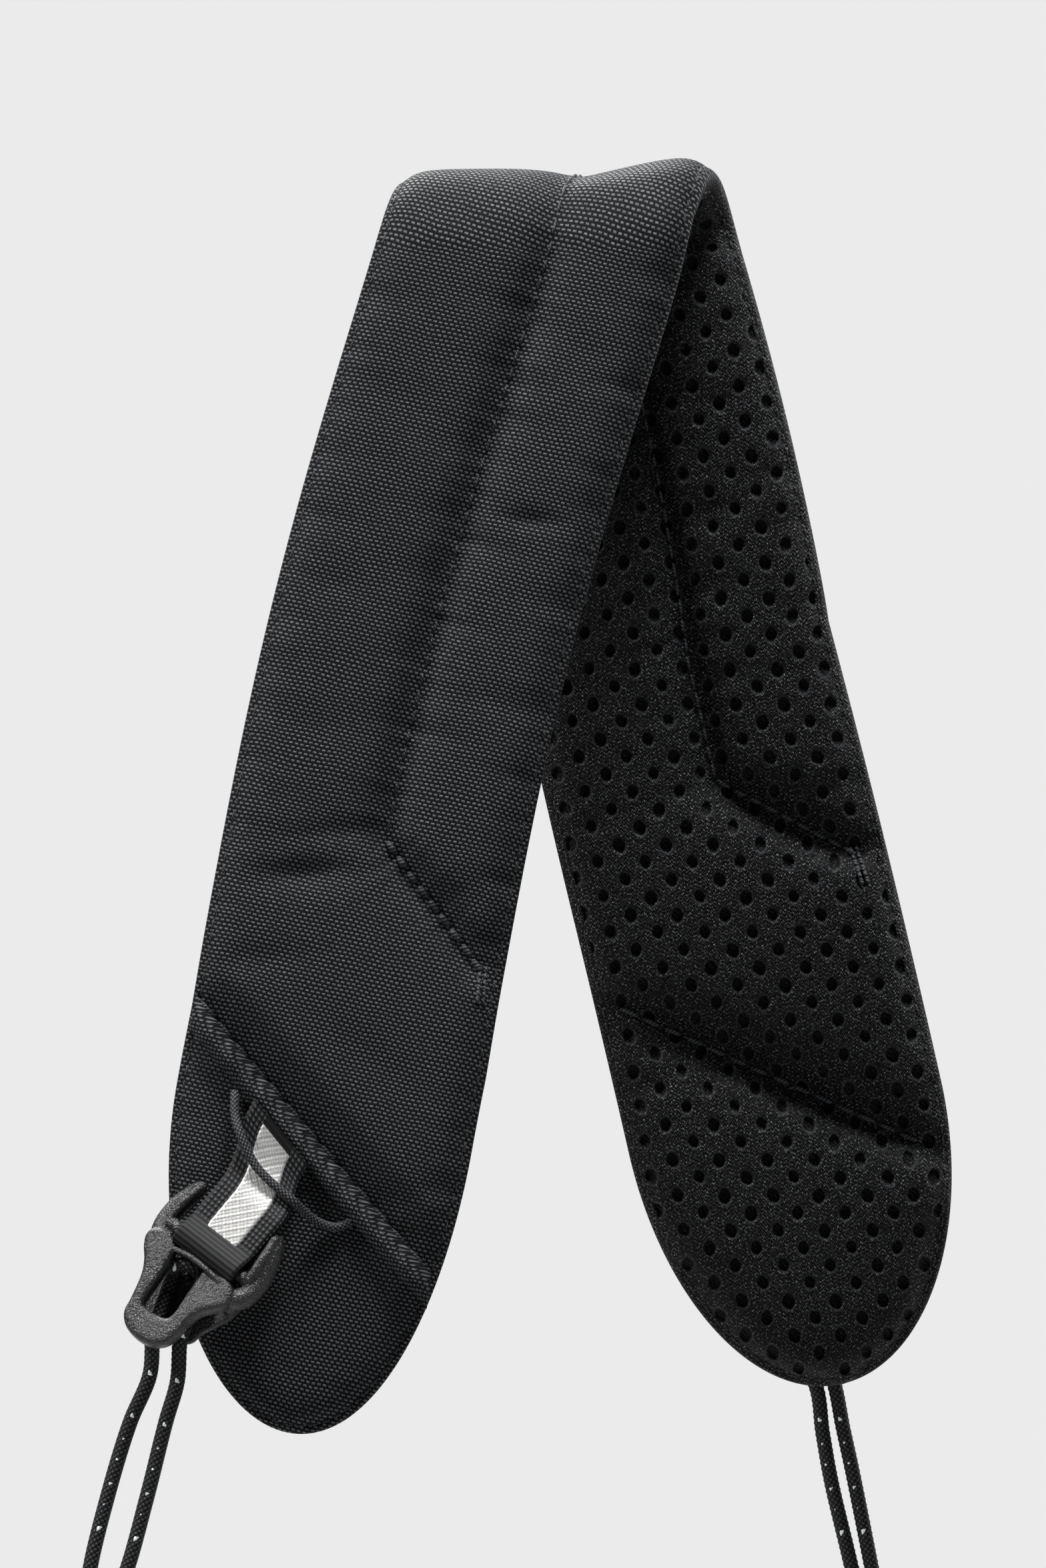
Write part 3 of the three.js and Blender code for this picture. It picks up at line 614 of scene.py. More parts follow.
def woven_material():
    """Near-black plain weave: staggered weft floats about a millimetre long with a painted highlight, over
    warp darkened with painted shade between them.
    """
    g = Graph("woven_nylon")
    uv, s, w = g.flat()
    s = g.math("MULTIPLY_ADD", g.noise(uv, 0.09, 3), 1.3, s)
    rows = g.wave(s, 1.56)
    dashes = g.math("MULTIPLY", g.math("SIGN", rows), g.wave(w, 1.08))
    weft = g.math("MULTIPLY", g.ramp(g.math("ABSOLUTE", rows), 0.5, 0.95), g.ramp(dashes, -0.7, -0.1))
    warp = g.ramp(dashes, 0.2, -0.9, 0.0, 0.4)
    height = g.math("MAXIMUM", weft, warp)
    # Painted light: the weft floats' lighter colour is a painted highlight, the warp's darker colour is
    # painted shade between them, and glint paints glints on some floats.
    glint = g.math("MULTIPLY", g.ramp(g.noise(uv, 2.6, 3, 0.65), 0.36, 0.68), weft)
    colour = g.mix(weft, grey(0.0015), grey(0.02, 0.08))
    colour = g.mix(glint, colour, grey(0.1, 0.07))
    rough = g.ramp(weft, 0, 1, 0.8, 0.5)
    return g.finish(colour, rough, g.bump(height, 0.0002, 0.9), Specular_IOR_Level=0.08)


def lining_material():
    """Knitted spacer mesh: small zigzag loops, punched holes with a few threads across them."""
    g = Graph("spacer_mesh")
    uv, s, w = g.flat()
    wander = g.noise(uv, 0.5, 2)
    a = g.math("MULTIPLY_ADD", wander, 1.1, g.math("ADD", s, g.math("MULTIPLY", w, 0.24)))
    b = g.math("MULTIPLY_ADD", wander, -0.8, g.math("SUBTRACT", w, g.math("MULTIPLY", s, 0.24)))
    zigzag = g.math("MULTIPLY_ADD", g.wave(b, 1.15), 0.16, a)
    loops = g.math("MULTIPLY", g.wave(zigzag, 0.78), g.wave(b, 0.66))
    height = g.ramp(loops, -0.2, 0.8)
    sparkle = g.ramp(g.noise(uv, 2, 3, 0.75), 0.52, 0.64)
    hole = g.attribute("hole")
    # Painted shade: inside marks the holes, whose colour is set near-black in place of the yarn's.
    inside = g.ramp(hole, 0.1, -0.12)
    # Painted highlight: rim marks a narrow band round each hole's edge that is painted lighter.
    rim = g.math("MULTIPLY", g.ramp(hole, 0.55, 0.1), g.ramp(hole, -0.05, 0.1))
    across = g.math("MULTIPLY_ADD", g.noise(uv, 0.8, 1), 1.6, g.math("MULTIPLY_ADD", s, 0.6, w))
    strands = g.math("MULTIPLY", g.ramp(g.wave(across, 0.72), 0.86, 0.98), inside)
    # Painted shade: the yarn's colour darkens from the loops' tops down into the hollows between them, and
    # sparkle paints glints on the loop tops.
    yarn = g.mix(height, grey(0.0006), grey(0.006))
    yarn = g.mix(g.math("MULTIPLY", height, sparkle), yarn, grey(0.21, 0.04))
    # Painted highlight round the edge of each hole.
    yarn = g.mix(g.math("MULTIPLY", rim, 0.3), yarn, grey(0.05))
    # Painted shade inside the holes.
    colour = g.mix(inside, yarn, grey(0.001))
    colour = g.mix(g.math("MULTIPLY", strands, 0.5), colour, grey(0.04))
    normal = g.bump(g.math("MULTIPLY_ADD", sparkle, 0.3, height), 0.00024, 0.9)
    return g.finish(colour, 0.5, normal, Specular_IOR_Level=0.06)


def thread_material():
    """Twisted sewing thread, with a painted highlight on each ply's crest and painted shade between the
    plies.
    """
    g = Graph("sewing_thread")
    _, along, around = g.flat()
    twist = g.wave(g.math("MULTIPLY_ADD", around, 0.2, along), 0.7)
    # Painted light: the lighter twist bands are a painted highlight on the ply crests, and the darker bands
    # are painted shade between them.
    colour = g.mix(g.ramp(twist, -0.6, 0.6), grey(0.006), grey(0.034, 0.07))
    normal = g.bump(twist, 0.00006, 0.7)
    return g.finish(colour, 0.5, normal, Specular_IOR_Level=0.12)


def webbing_material():
    """Narrow webbing, whose raised ridges catch the light."""
    g = Graph("narrow_webbing")
    uv, _, _ = g.flat()
    ridge = g.attribute("ridge")
    fuzz = g.noise(uv, 4, 3)
    crown = g.math("MULTIPLY", g.ramp(ridge, 0.35, 0.95), g.ramp(fuzz, 0.3, 0.7, 0.5, 1))
    colour = g.mix(crown, grey(0.003), grey(0.055))
    normal = g.bump(fuzz, 0.00008, 0.6)
    return g.finish(colour, 0.6, normal, Specular_IOR_Level=0.12)


def stripe_material():
    """Glass-bead tape on a woven ground, which glitters a little."""
    g = Graph("reflective_tape")
    uv, along, across = g.flat()
    grain = g.noise(uv, 3.4, 4, 0.7)
    ground = g.math("MULTIPLY", g.wave(along, 1.05), g.wave(across, 0.95))
    tone = g.math("MULTIPLY_ADD", ground, 0.12, grain)
    colour = g.mix(g.ramp(tone, 0.3, 0.7), (0.17, 0.17, 0.166, 1), (0.37, 0.37, 0.36, 1))
    normal = g.bump(g.math("MULTIPLY_ADD", ground, 0.4, grain), 0.0001, 0.7)
    return g.finish(colour, g.ramp(grain, 0.3, 0.7, 0.55, 0.3), normal, Metallic=0.35)


def plastic_material():
    """Graphite moulding with a spark-eroded grain that breaks up its highlights."""
    g = Graph("grained_plastic")
    place = g.add("ShaderNodeNewGeometry", output="Position")
    fine = g.noise(place, 3000, 2, 0.6)
    coarse = g.noise(place, 1300, 2, 0.5)
    grain = g.math("MULTIPLY_ADD", coarse, 0.6, fine)
    worn = g.ramp(g.noise(place, 90, 3), 0.35, 0.7)
    colour = g.mix(g.ramp(fine, 0.4, 0.65), grey(0.001), grey(0.012))
    rough = g.math("MULTIPLY_ADD", worn, -0.08, g.ramp(fine, 0.3, 0.7, 0.38, 0.24))
    return g.finish(colour, rough, g.bump(grain, 0.0003, 1.0), Specular_IOR_Level=0.4)


def cord_material(name, dark, light):
    """Braided cord: dark carriers with lit crowns, and pale flecks where the attribute says."""
    g = Graph(name)
    _, along, around = g.flat()
    crown = g.attribute("crown")
    fleck = g.attribute("fleck")
    hair = g.wave(g.math("MULTIPLY_ADD", around, 0.9, along), 0.2)
    shade = g.math("MULTIPLY", g.ramp(crown, 0.45, 0.95), g.ramp(hair, -1, 1, 0.5, 1))
    colour = g.mix(shade, grey(dark), grey(light))
    colour = g.mix(g.ramp(fleck, 0.45, 0.6), colour, (0.62, 0.64, 0.64, 1))
    normal = g.bump(g.math("MULTIPLY_ADD", hair, 0.12, crown), 0.00012, 0.7)
    return g.finish(colour, 0.6, normal, Specular_IOR_Level=0.12)


# ---------------------------------------------------------------- the pad

def rows_along(step):
    """Stations of s from tip to tip, closer together as the ends round in."""
    turn = np.linspace(0, math.pi / 2 - 0.004, round(100 / step) + 1)[1:]
    halves = []
    for limb in (REAR, FRONT):
        straight = np.linspace(0, limb["round"], round(limb["round"] / step) + 1)
        ending = limb["round"] + (limb["tip"] - limb["round"]) * np.sin(turn)
        halves.append(np.concatenate([straight, ending]))
    return np.concatenate([-halves[0][:0:-1], halves[1]])


def columns_across(step):
    """Shares of the half width from edge to edge, closer together over the sewn rim."""
    rim = np.array([0, 0.04, 0.14, 0.3, 0.5, 0.75, 1.05, 1.35, 1.6, 1.8, 2, 2.2, 2.4, 2.7, 3.1])
    inner = np.linspace(3.6, HALF_WIDTH, round((HALF_WIDTH - 3.6) / step) + 1)
    half = 1 - np.concatenate([rim, inner]) / HALF_WIDTH
    return np.concatenate([-half, half[-2::-1]])


def pad_grid(step):
    s = rows_along(step)[:, None]
    share = columns_across(step)[None, :]
    w = share * half_width_at(s)
    return np.broadcast_to(s, w.shape), w


# The lining's holes stand in a centred lattice; its two sides and one hole's place, in s and w.
HOLE_SIDES = ((-2.17, 8.94), (-6.89, -0.44))
HOLE_PLACE = (-151.1, -6.5)
HOLE_RADII = (1.45, 1.1)


def hole_distance(s, w):
    """Distance outside the nearest punched hole, negative inside it."""
    (a, b), (c, d) = HOLE_SIDES
    det = a * d - b * c
    best = np.full(np.shape(s), 9.0)
    for shift in (0.0, 0.5):
        x, y = s - HOLE_PLACE[0], w - HOLE_PLACE[1]
        i, j = (x * d - y * c) / det + shift, (y * a - x * b) / det + shift
        i0, j0 = np.round(i), np.round(j)
        seed = np.abs(np.sin(i0 * 12.9898 + j0 * 78.233 + shift * 37.7) * 43758.5453) % 1
        other = np.abs(np.sin(i0 * 39.3468 + j0 * 11.135 + shift * 17.1) * 24634.6345) % 1
        di, dj = i - i0, j - j0
        dx = di * a + dj * c + 0.35 * (seed - 0.5)
        dy = di * b + dj * d + 0.35 * (other - 0.5)
        size = 0.92 + 0.2 * seed
        turn = 0.5 * (other - 0.5)
        along, across = dx * np.cos(turn) + dy * np.sin(turn), dy * np.cos(turn) - dx * np.sin(turn)
        reach = (np.abs(along / HOLE_RADII[0]) ** 1.7 + np.abs(across / HOLE_RADII[1]) ** 1.7) ** (1 / 1.7)
        best = np.minimum(best, (reach - size) * HOLE_RADII[1])
    return best


def closed_rim(height):
    """Brings a sheet's outline down to the middle plane, where the two sheets meet."""
    height[:, (0, -1)] = 0
    height[(0, -1), :] = 0
    return height


def add_face(material):
    s, w = pad_grid(0.85)
    places = strap_point(s, w, closed_rim(face_height(s, w)))
    piece = mesh_piece("woven_face", places, grid_faces(*s.shape, flip=True), uv=np.stack([s, w], -1))
    replaced = ("face_panel", "front_end_cap", "rear_end_cap", "edge_seam_allowance", "foam_core")
    dress(piece, material, "pad", "woven_face", *replaced)


def add_lining(material):
    s, w = pad_grid(0.5)
    hole = hole_distance(s, w)
    keep = smooth(edge_distance(s, w), RIM, RIM + 1)
    hole = np.where(keep > 0.5, hole, 1.0)
    sunk = 1.1 * smooth(-hole, -0.25, 0.35) - 0.1 * np.exp(-((hole - 0.3) / 0.25) ** 2)
    places = strap_point(s, w, closed_rim(lining_depth(s, w) + sunk * keep))
    piece = mesh_piece("mesh_lining", places, grid_faces(*s.shape), {"hole": hole}, np.stack([s, w], -1))
    dress(piece, material, "pad", "mesh_lining", "lining_mesh")


# ---------------------------------------------------------------- stitches

STITCH_SINK = 0.25  # how far a stitch's ends dip into the cloth


def stitch_parts(line, height, pitch, length, radius, side=1):
    """Short bulging stitches along a line of (s, w), each on the surface that height(s, w) gives."""
    line = np.asarray(line, float)
    gaps = np.hypot(*np.diff(line, axis=0).T)
    reach = np.concatenate([[0], np.cumsum(gaps)])
    parts = []
    rng = np.random.default_rng(SEED)
    x = np.linspace(-1, 1, 9)
    angle = np.linspace(0, 2 * math.pi, 8, endpoint=False)
    for middle in np.arange(pitch / 2, reach[-1], pitch):
        at = middle + x * length / 2 * rng.uniform(0.92, 1.05)
        piece = min(np.searchsorted(reach, middle), len(gaps)) - 1
        tangent = (line[piece + 1] - line[piece]) / gaps[piece]
        s, w = np.interp(middle, reach, line[:, 0]), np.interp(middle, reach, line[:, 1])
        s, w = (k + (at - middle) * way + rng.normal(0, 0.05) for k, way in zip((s, w), tangent))
        thick = radius * np.sqrt(np.maximum(0.02, 1 - np.abs(x) ** 3))[:, None]
        out = thick * np.cos(angle)
        up = thick * np.sin(angle) * 0.85
        top = height(s, w) + side * (radius * 0.55 - STITCH_SINK * x ** 4)
        places = strap_point(s[:, None] - tangent[1] * out, w[:, None] + tangent[0] * out, top[:, None] + up)
        uv = np.stack(np.broadcast_arrays(at[:, None], angle[None, :]), -1)
        parts.append((places, grid_faces(len(x), len(angle), closed=True), {}, uv))
    return parts


def add_stitches(name, parts, material, *replaced):
    places, faces, attributes, uv = join(parts)
    piece = mesh_piece(name, places, faces, attributes, uv)
    dress(piece, material, "pad", "thread", *replaced)


def add_pad_stitching(material):
    half = [(s, np.interp(s, *zip(*SEAM[:2]))) for s in range(0, SEAM[1][0] + 1, 5)]
    middle = [(-s, w) for s, w in half[:0:-1]] + half
    parts = stitch_parts(middle, face_height, 3.6, 2.7, 0.3)
    parts += stitch_parts(middle, lining_depth, 3.6, 2.9, 0.34, side=-1)
    for end in (1, -1):
        slant = [(end * s, w) for s, w in SEAM[1:]]
        parts += stitch_parts(slant, face_height, 3.4, 3.1, 0.66)
        parts += stitch_parts(slant, lining_depth, 3.5, 3.2, 0.5, side=-1)
    add_stitches("centre_seam", parts, material, "centre_seam_stitching")
    for name, (end, _) in ENDS.items():
        add_bartack(name, end, material)


def add_bartack(name, end, material):
    """Two short dense rows at the end of the centre seam, on both sheets."""
    s, w = SEAM[-1]
    for row, shift, replaced in (("a", -0.55, [f"{name}_bartack"]), ("b", 0.55, [])):
        bar = [(end * (s - 1), w + shift + 0.3), (end * (s + 6), w + shift + 0.9)]
        parts = stitch_parts(bar, face_height, 1.2, 1.5, 0.42)
        parts += stitch_parts(bar, lining_depth, 1.2, 1.5, 0.42, side=-1)
        add_stitches(f"{name}_bartack_{row}", parts, material, *replaced)


def rim_line():
    """The topstitching's line, all round the pad."""
    past = np.linspace(0, math.pi / 2, 60)
    sides = []
    for limb, end in ((FRONT, 1), (REAR, -1)):
        straight = np.linspace(0, limb["round"], 40, endpoint=False)
        ending = limb["round"] + (limb["tip"] - limb["round"] - RIM) * np.sin(past)
        s = end * np.concatenate([straight, ending])
        w = side_at(s) - RIM
        w[len(straight):] *= np.cos(past)
        sides.append(np.stack([s, w], -1))
    right = np.concatenate([sides[1][::-1], sides[0][1:]])
    return np.concatenate([right, right[-2::-1] * (1, -1)])


def add_rim_stitching(material):
    line = rim_line()
    parts = stitch_parts(line, face_height, 2.6, 2.0, 0.24)
    parts += stitch_parts(line, lining_depth, 2.6, 2.0, 0.24, side=-1)
    add_stitches("rim_topstitching", parts, material)


# ---------------------------------------------------------------- hems

# The hem's side view: distance past its stitches, and height above the face.
HEM_PROFILE = [
    (-0.3, -0.8), (0.0, 0.4), (0.5, 1.7), (1.3, 2.8), (2.4, 3.4), (3.6, 3.3), (4.6, 2.5), (5.3, 1.2),
    (5.5, 0), (5, -1.2),
]


def hem_line(past, first, last, count=30):
    """Places along the hem at a distance past its row of stitches."""
    w = np.linspace(first, last, count)
    return HEM_MIDDLE + HEM_SLOPE * w + past / math.cos(HEM_ANGLE), w


def add_hem_roll(name, end, material):
    """The cloth turned under along the hem, which puckers between its stitches."""
    along = np.linspace(0, (HEM_RIGHT + 2.6 - HEM_LEFT) / math.cos(HEM_ANGLE), 150)
    places = np.linspace(0, len(HEM_PROFILE) - 1, 37)
    past, rise = (np.interp(places, range(len(HEM_PROFILE)), column) for column in zip(*HEM_PROFILE))
    near = np.minimum(1, np.minimum(along, along[-1] - along) / 3.5)
    size = np.sqrt(1 - (1 - near) ** 2)[:, None]
    bulge = 1 + 0.07 * np.sin(2 * math.pi * along / 5)[:, None] * np.exp(-((past - 1.5) / 1.5) ** 2)
    w = HEM_LEFT + along[:, None] * math.cos(HEM_ANGLE) + 0 * past
    s = HEM_MIDDLE + HEM_SLOPE * w + past / math.cos(HEM_ANGLE)
    ground = np.maximum(face_height(s, w), 1.6)
    roll = strap_point(end * s, w, ground + rise * size * bulge)
    uv = np.stack([end * s, w + rise], -1)
    piece = mesh_piece(f"{name}_hem_roll", roll, grid_faces(*s.shape, flip=end > 0), uv=uv)
    dress(piece, material, "pad", "woven_face", f"{name}_hem")


def add_hem(name, end, material, thread):
    add_hem_roll(name, end, material)
    s, w = hem_line(0.15, HEM_LEFT + 0.8, HEM_RIGHT)
    parts = stitch_parts(np.stack([end * s, w], -1), lambda s, w: face_height(s, w) + 0.9, 5, 4, 0.42)
    s, w = hem_line(0, HEM_LEFT + 2, HEM_RIGHT + 1)
    parts += stitch_parts(np.stack([end * s, w], -1), lining_depth, 4.6, 3.9, 0.5, side=-1)
    add_stitches(f"{name}_hem_thread", parts, thread, f"{name}_hem_stitching")


# ---------------------------------------------------------------- hardware frames

def turned(yaw, roll, pitch):
    cy, sy, cr, sr, cp, sp = (f(x) for x in (-yaw, roll, -pitch) for f in (math.cos, math.sin))
    about_z = np.array([[cy, -sy, 0], [sy, cy, 0], [0, 0, 1]])
    about_x = np.array([[1, 0, 0], [0, cr, -sr], [0, sr, cr]])
    about_y = np.array([[cp, 0, sp], [0, 1, 0], [-sp, 0, cp]])
    return about_z @ about_x @ about_y


def in_hook(shift, u, v, n):
    """From the hook's frame (u towards its horns, v across, n out) to s, w and t."""
    axes = turned(HOOK_YAW, HOOK_ROLL, HOOK_PITCH)
    u, v, n = np.broadcast_arrays(*(np.asarray(x, float) for x in (u, v, n)))
    place = np.array(CROSSBAR) + np.array(shift)
    return place + np.stack([-u, v, n], -1) @ axes.T


def in_root(shift, x, y, z):
    """From the frame at the hem (x towards the tip, y across, z out) to s, w and t."""
    along = np.array([math.cos(TAB_YAW), -math.sin(TAB_YAW), 0])
    across = np.array([math.sin(TAB_YAW), math.cos(TAB_YAW), 0])
    place = np.array(TAB_ROOT) + np.array([shift[0], shift[1], 0])
    x, y, z = (np.asarray(k, float)[..., None] for k in (x, y, z))
    return place + x * along + y * across + z * np.array([0, 0, 1.0])


def on_limb(end, place):
    return sheet_point(end * place[..., 0], place[..., 1], place[..., 2])


def tab_point(end, shift, x, y, z):
    """The webbing's layout: x from the hem to the crossbar, y across, z out."""
    x, y, z = np.broadcast_arrays(*(np.asarray(k, float) for k in (x, y, z)))
    share = smooth(x, 0, TAB_BLEND)[..., None]
    root = in_root(shift, x + y * HEM_SHEAR, y, z)
    return on_limb(end, root * (1 - share) + in_hook(shift, TAB_LENGTH - x, y, z) * share)


# ---------------------------------------------------------------- webbing, stripe and keeper

def webbing_path():
    """Side view of the webbing's outer face, from the hem round the crossbar and back: x and z."""
    out = np.linspace(-2.5, TAB_LENGTH - 5, 110)
    rise = 1.0 + 0 * out
    angle = np.linspace(math.pi / 2, -math.pi / 2, 60)
    reach = CROSSBAR_RADIUS + 1.3
    ease = np.linspace(TAB_LENGTH - 4.8, TAB_LENGTH - 0.2, 18)
    lift = 1 + (reach - 1) * smooth(ease, TAB_LENGTH - 5, TAB_LENGTH)
    x = np.concatenate([out, ease, TAB_LENGTH + reach * np.cos(angle), ease[::-1], out[::-1]])
    z = np.concatenate([rise, lift, reach * np.sin(angle), -lift[::-1], -rise])
    return x, z


def add_webbing(name, end, shift, material):
    x, z = webbing_path()
    half = WEBBING_WIDTH / 2
    y = np.linspace(-half, half, 90)
    run = np.concatenate([[0], np.cumsum(np.hypot(np.diff(x), np.diff(z)))])
    fine = np.linspace(0, run[-1], 330)
    x, z = np.interp(fine, run, x), np.interp(fine, run, z)
    dx, dz = np.gradient(x), np.gradient(z)
    size = np.hypot(dx, dz)
    nx, nz = -dz / size, dx / size
    outside = np.where(nx * (x - TAB_LENGTH) + nz * z >= 0, 1, -1)
    nx, nz = nx * outside, nz * outside
    strip = smooth(np.abs(y), STRIPE_WIDTH / 2 - 0.2, STRIPE_WIDTH / 2 + 0.1)[None, :]
    rows = np.abs(np.cos(math.pi * fine / 1.02))[:, None] ** 1.2
    cells = rows * np.abs(np.cos(math.pi * (np.abs(y) - 0.05) / 0.94))[None, :] ** 0.8
    ribs = np.abs(np.cos(math.pi * fine / 0.98))[:, None] ** 0.9 * np.ones_like(y)[None, :]
    wrap = smooth(x, TAB_LENGTH - 5, TAB_LENGTH - 4.2)[:, None]
    ridge = (cells * strip + 0.35 * rows * (1 - strip)) * (1 - wrap) + 0.55 * ribs * wrap
    rounding = -0.35 * smooth(np.abs(y), half - 0.5, half)[None, :]
    outer = 0.24 * ridge + rounding
    inner = -0.85 - 0.15 * wrap + 0 * outer
    x, z, nx, nz = (k[:, None] for k in (x, z, nx, nz))
    places = [tab_point(end, shift, x + nx * reach, y[None, :], z + nz * reach) for reach in (outer, inner)]
    uv = np.stack(np.broadcast_arrays(fine[:, None], y[None, :]), -1)
    parts = [(places[0], grid_faces(*outer.shape), {"ridge": ridge}, uv),
             (places[1], grid_faces(*outer.shape, flip=True), {"ridge": ridge * 0.3}, uv)]
    for edge in (0, -1):
        wall = np.stack([places[0][:, edge], places[1][:, edge]], 1)
        twice = [edge, edge]
        quads = grid_faces(len(fine), 2, flip=edge == 0)
        parts.append((wall, quads, {"ridge": ridge[:, twice] * 0.6}, uv[:, twice]))
    piece = mesh_piece(f"{name}_webbing", *join(parts))
    dress(piece, material, "pad", "webbing", f"{name}_webbing_tab", f"{name}_webbing_anchor")


def add_stripe(name, end, shift, material):
    """The reflective tape woven down the middle of the webbing."""
    x = np.linspace(-0.5, TAB_LENGTH - 3.6, 90)[:, None]
    y = np.linspace(-1, 1, 34)[None, :] * STRIPE_WIDTH / 2
    wobble = 0.05 * np.cos(math.pi * x / 1.02) * np.cos(math.pi * y / 0.94)
    low = smooth(np.abs(y), STRIPE_WIDTH / 2 - 0.3, STRIPE_WIDTH / 2) * 0.2
    places = tab_point(end, shift, x, y, 1.34 + wobble - low)
    uv = np.stack(np.broadcast_arrays(x, y), -1)
    piece = mesh_piece(f"{name}_stripe", places, grid_faces(x.size, y.size), uv=uv)
    dress(piece, material, "pad", "reflective_tape", f"{name}_reflective_stripe")


def braid(carriers, pitch, relief, flecks=None):
    """A rope's shape: two families of carriers that cross over and under, with pale flecks."""
    def shape(along, angle):
        turn = 2 * math.pi * along / pitch
        left, right = carriers * (angle - turn), carriers * (angle + turn)
        over = np.cos(left / 2) * np.cos(right / 2)
        crown = np.abs(over) ** 0.7
        share = 1 - relief + relief * crown + 0 * along
        fleck = np.zeros(np.shape(share))
        if flecks:
            every, long = flecks
            place = np.mod(along + every * 0.5 * np.round(np.mod(angle / math.pi, 2)), every)
            for side, later in ((left, 0), (right, 2.3)):
                near = np.abs(place - every / 2 - later) < long / 2
                on_carrier = np.abs(np.mod(side / (2 * math.pi) + 0.5, carriers) - 0.5) < 0.44
                fleck = np.maximum(fleck, near & on_carrier)
        return share, {"crown": crown + 0 * share, "fleck": fleck}
    return shape


def add_keeper(name, end, shift, material):
    """The elastic loop over the webbing, with both ends under the hem."""
    clear = KEEPER_CLEAR + KEEPER_RADIUS

    def ground(s, w, t):
        return on_limb(end, np.array([s + shift[0], w + shift[1], t]))

    points = [ground(183.6, -16.6, 4.8), ground(185, -16.3, 5.8), ground(188, -15.5, 7.2)]
    points += [tab_point(end, shift, *place) for place in (
        (4.4, -7.4, clear + 0.2), (6.7, -2.4, clear), (7, 1.6, clear), (6.6, 5.4, clear),
        (6.2, 8, clear - 0.2), (6, 9.6, 0.7),
    )]
    points += [ground(204, 4.4, 6.6), ground(204.3, 8, 5.6), ground(202.6, 11, 4.6)]
    places, faces, attributes, uv, _ = rope(points, KEEPER_RADIUS * MM, braid(6, 5.5, 0.14), 0.14 * MM, 26)
    piece = mesh_piece(f"{name}_keeper", places, faces, attributes, uv)
    dress(piece, material, "pad", "elastic", f"{name}_keeper_loop")


# ---------------------------------------------------------------- hooks

# The hook's front plate, open at the top of its slot, as (across, along).
PLATE_HEIGHTS = (-1.7, 2.3)
PLATE_OUTLINE = [
    (0, -21.6), (3.4, -20.9), (5.5, -18.8), (6.1, -15.6), (6.2, -12.8), (7, -10.4), (8.6, -8.4), (10, -6.4),
    (9.6, -3.8), (7.6, -2.1), (4.6, -2.3), (2, -3.4), (1.8, -5), (2.1, -9), (2.6, -13.6), (2.2, -15),
    (1.2, -15.5), (-2.2, -15.9), (-3.2, -15.6), (-3.6, -14.6), (-4.2, -9), (-5, -4.6), (-5.7, -3.2),
    (-7.4, -2), (-9.6, -1.6), (-11.6, -2.8), (-12, -4.6), (-11, -6.6), (-9.2, -8.6), (-7.8, -10.8),
    (-6.8, -13.6), (-6, -16.6), (-5.4, -19), (-3.4, -20.9),
]
# The tongue behind the slot.
TONGUE_HEIGHTS = (-6.95, -5.6)
TONGUE_OUTLINE = [
    (9.6, -3.4), (9.8, -6.4), (8.6, -9.6), (7.2, -12.4), (6.6, -15.2), (5, -16.4), (0, -16.8), (-4.6, -16.2),
    (-6.6, -13), (-7, -8), (-6.4, -3.8),
]
# Chains of rounded lumps, each as across, along, out and radius: the horns with their ribs, the crossbar,
# the raised lip, the tongue's wall and the cord's post.
HOOK_CHAINS = [
    [(8, -5, -0.2, 1.9), (10.4, -3.2, -0.8, 2.3), (11.2, 0.2, -0.9, 2.2), (10.9, 4, -0.4, 2),
     (10, 7.6, 0.3, 1.8), (9.3, 9.3, 0.6, 1.5)],
    [(9.8, 0.6, 1.2, 0.9), (9.7, 4, 1.7, 1), (9.1, 9.3, 1.9, 0.9)],
    [(-8.4, -4.6, -0.2, 1.9), (-10.9, -2, -1, 2.1), (-11.6, 1.4, -1.1, 2), (-11.2, 5, -0.7, 1.9),
     (-10.3, 8, -0.2, 1.6), (-9.9, 8.9, 0, 1.3)],
    [(-10.6, 1.2, 0.6, 0.9), (-10.3, 5, 1, 0.9), (-9.8, 8.2, 1, 0.8)],
    [(-10, 0, 0, 1.5), (10, 0, 0, 1.5)],
    [(-6.2, -3.9, 1.6, 0.6), (-3, -3.3, 2.5, 0.6), (0, -3.1, 2.8, 0.6), (3, -3.2, 2.6, 0.6),
     (6.2, -3.4, 1.8, 0.6)],
    [(9, -4.4, -1.6, 1.9), (8.8, -5, -3.6, 1.8), (8.4, -5.6, -5.4, 1.3)],
    [(-1.8, -5.8, -6, 0.8), (-1.8, -5.8, -3.6, 0.8)],
]


def rounded_loop(points, count=160):
    """A closed smooth line through the points."""
    points = np.array([(*p, 0) for p in points], float)
    wrapped = np.concatenate([points[-3:], points, points[:3]])
    line = path_points(wrapped, 0.25)[:, :2]
    start = np.argmin(np.linalg.norm(line[:len(line) // 3] - points[0, :2], axis=1))
    stop = len(line) // 2 + np.argmin(np.linalg.norm(line[len(line) // 2:] - points[0, :2], axis=1))
    loop = line[start:stop]
    return loop[np.linspace(0, len(loop) - 1, count).astype(int)]


def mesh_arrays(mesh):
    """A mesh's places and triangles."""
    mesh.calc_loop_triangles()
    places = np.empty(len(mesh.vertices) * 3)
    mesh.vertices.foreach_get("co", places)
    faces = np.empty(len(mesh.loop_triangles) * 3, int)
    mesh.loop_triangles.foreach_get("vertices", faces)
    return places.reshape(-1, 3), faces.reshape(-1, 3)


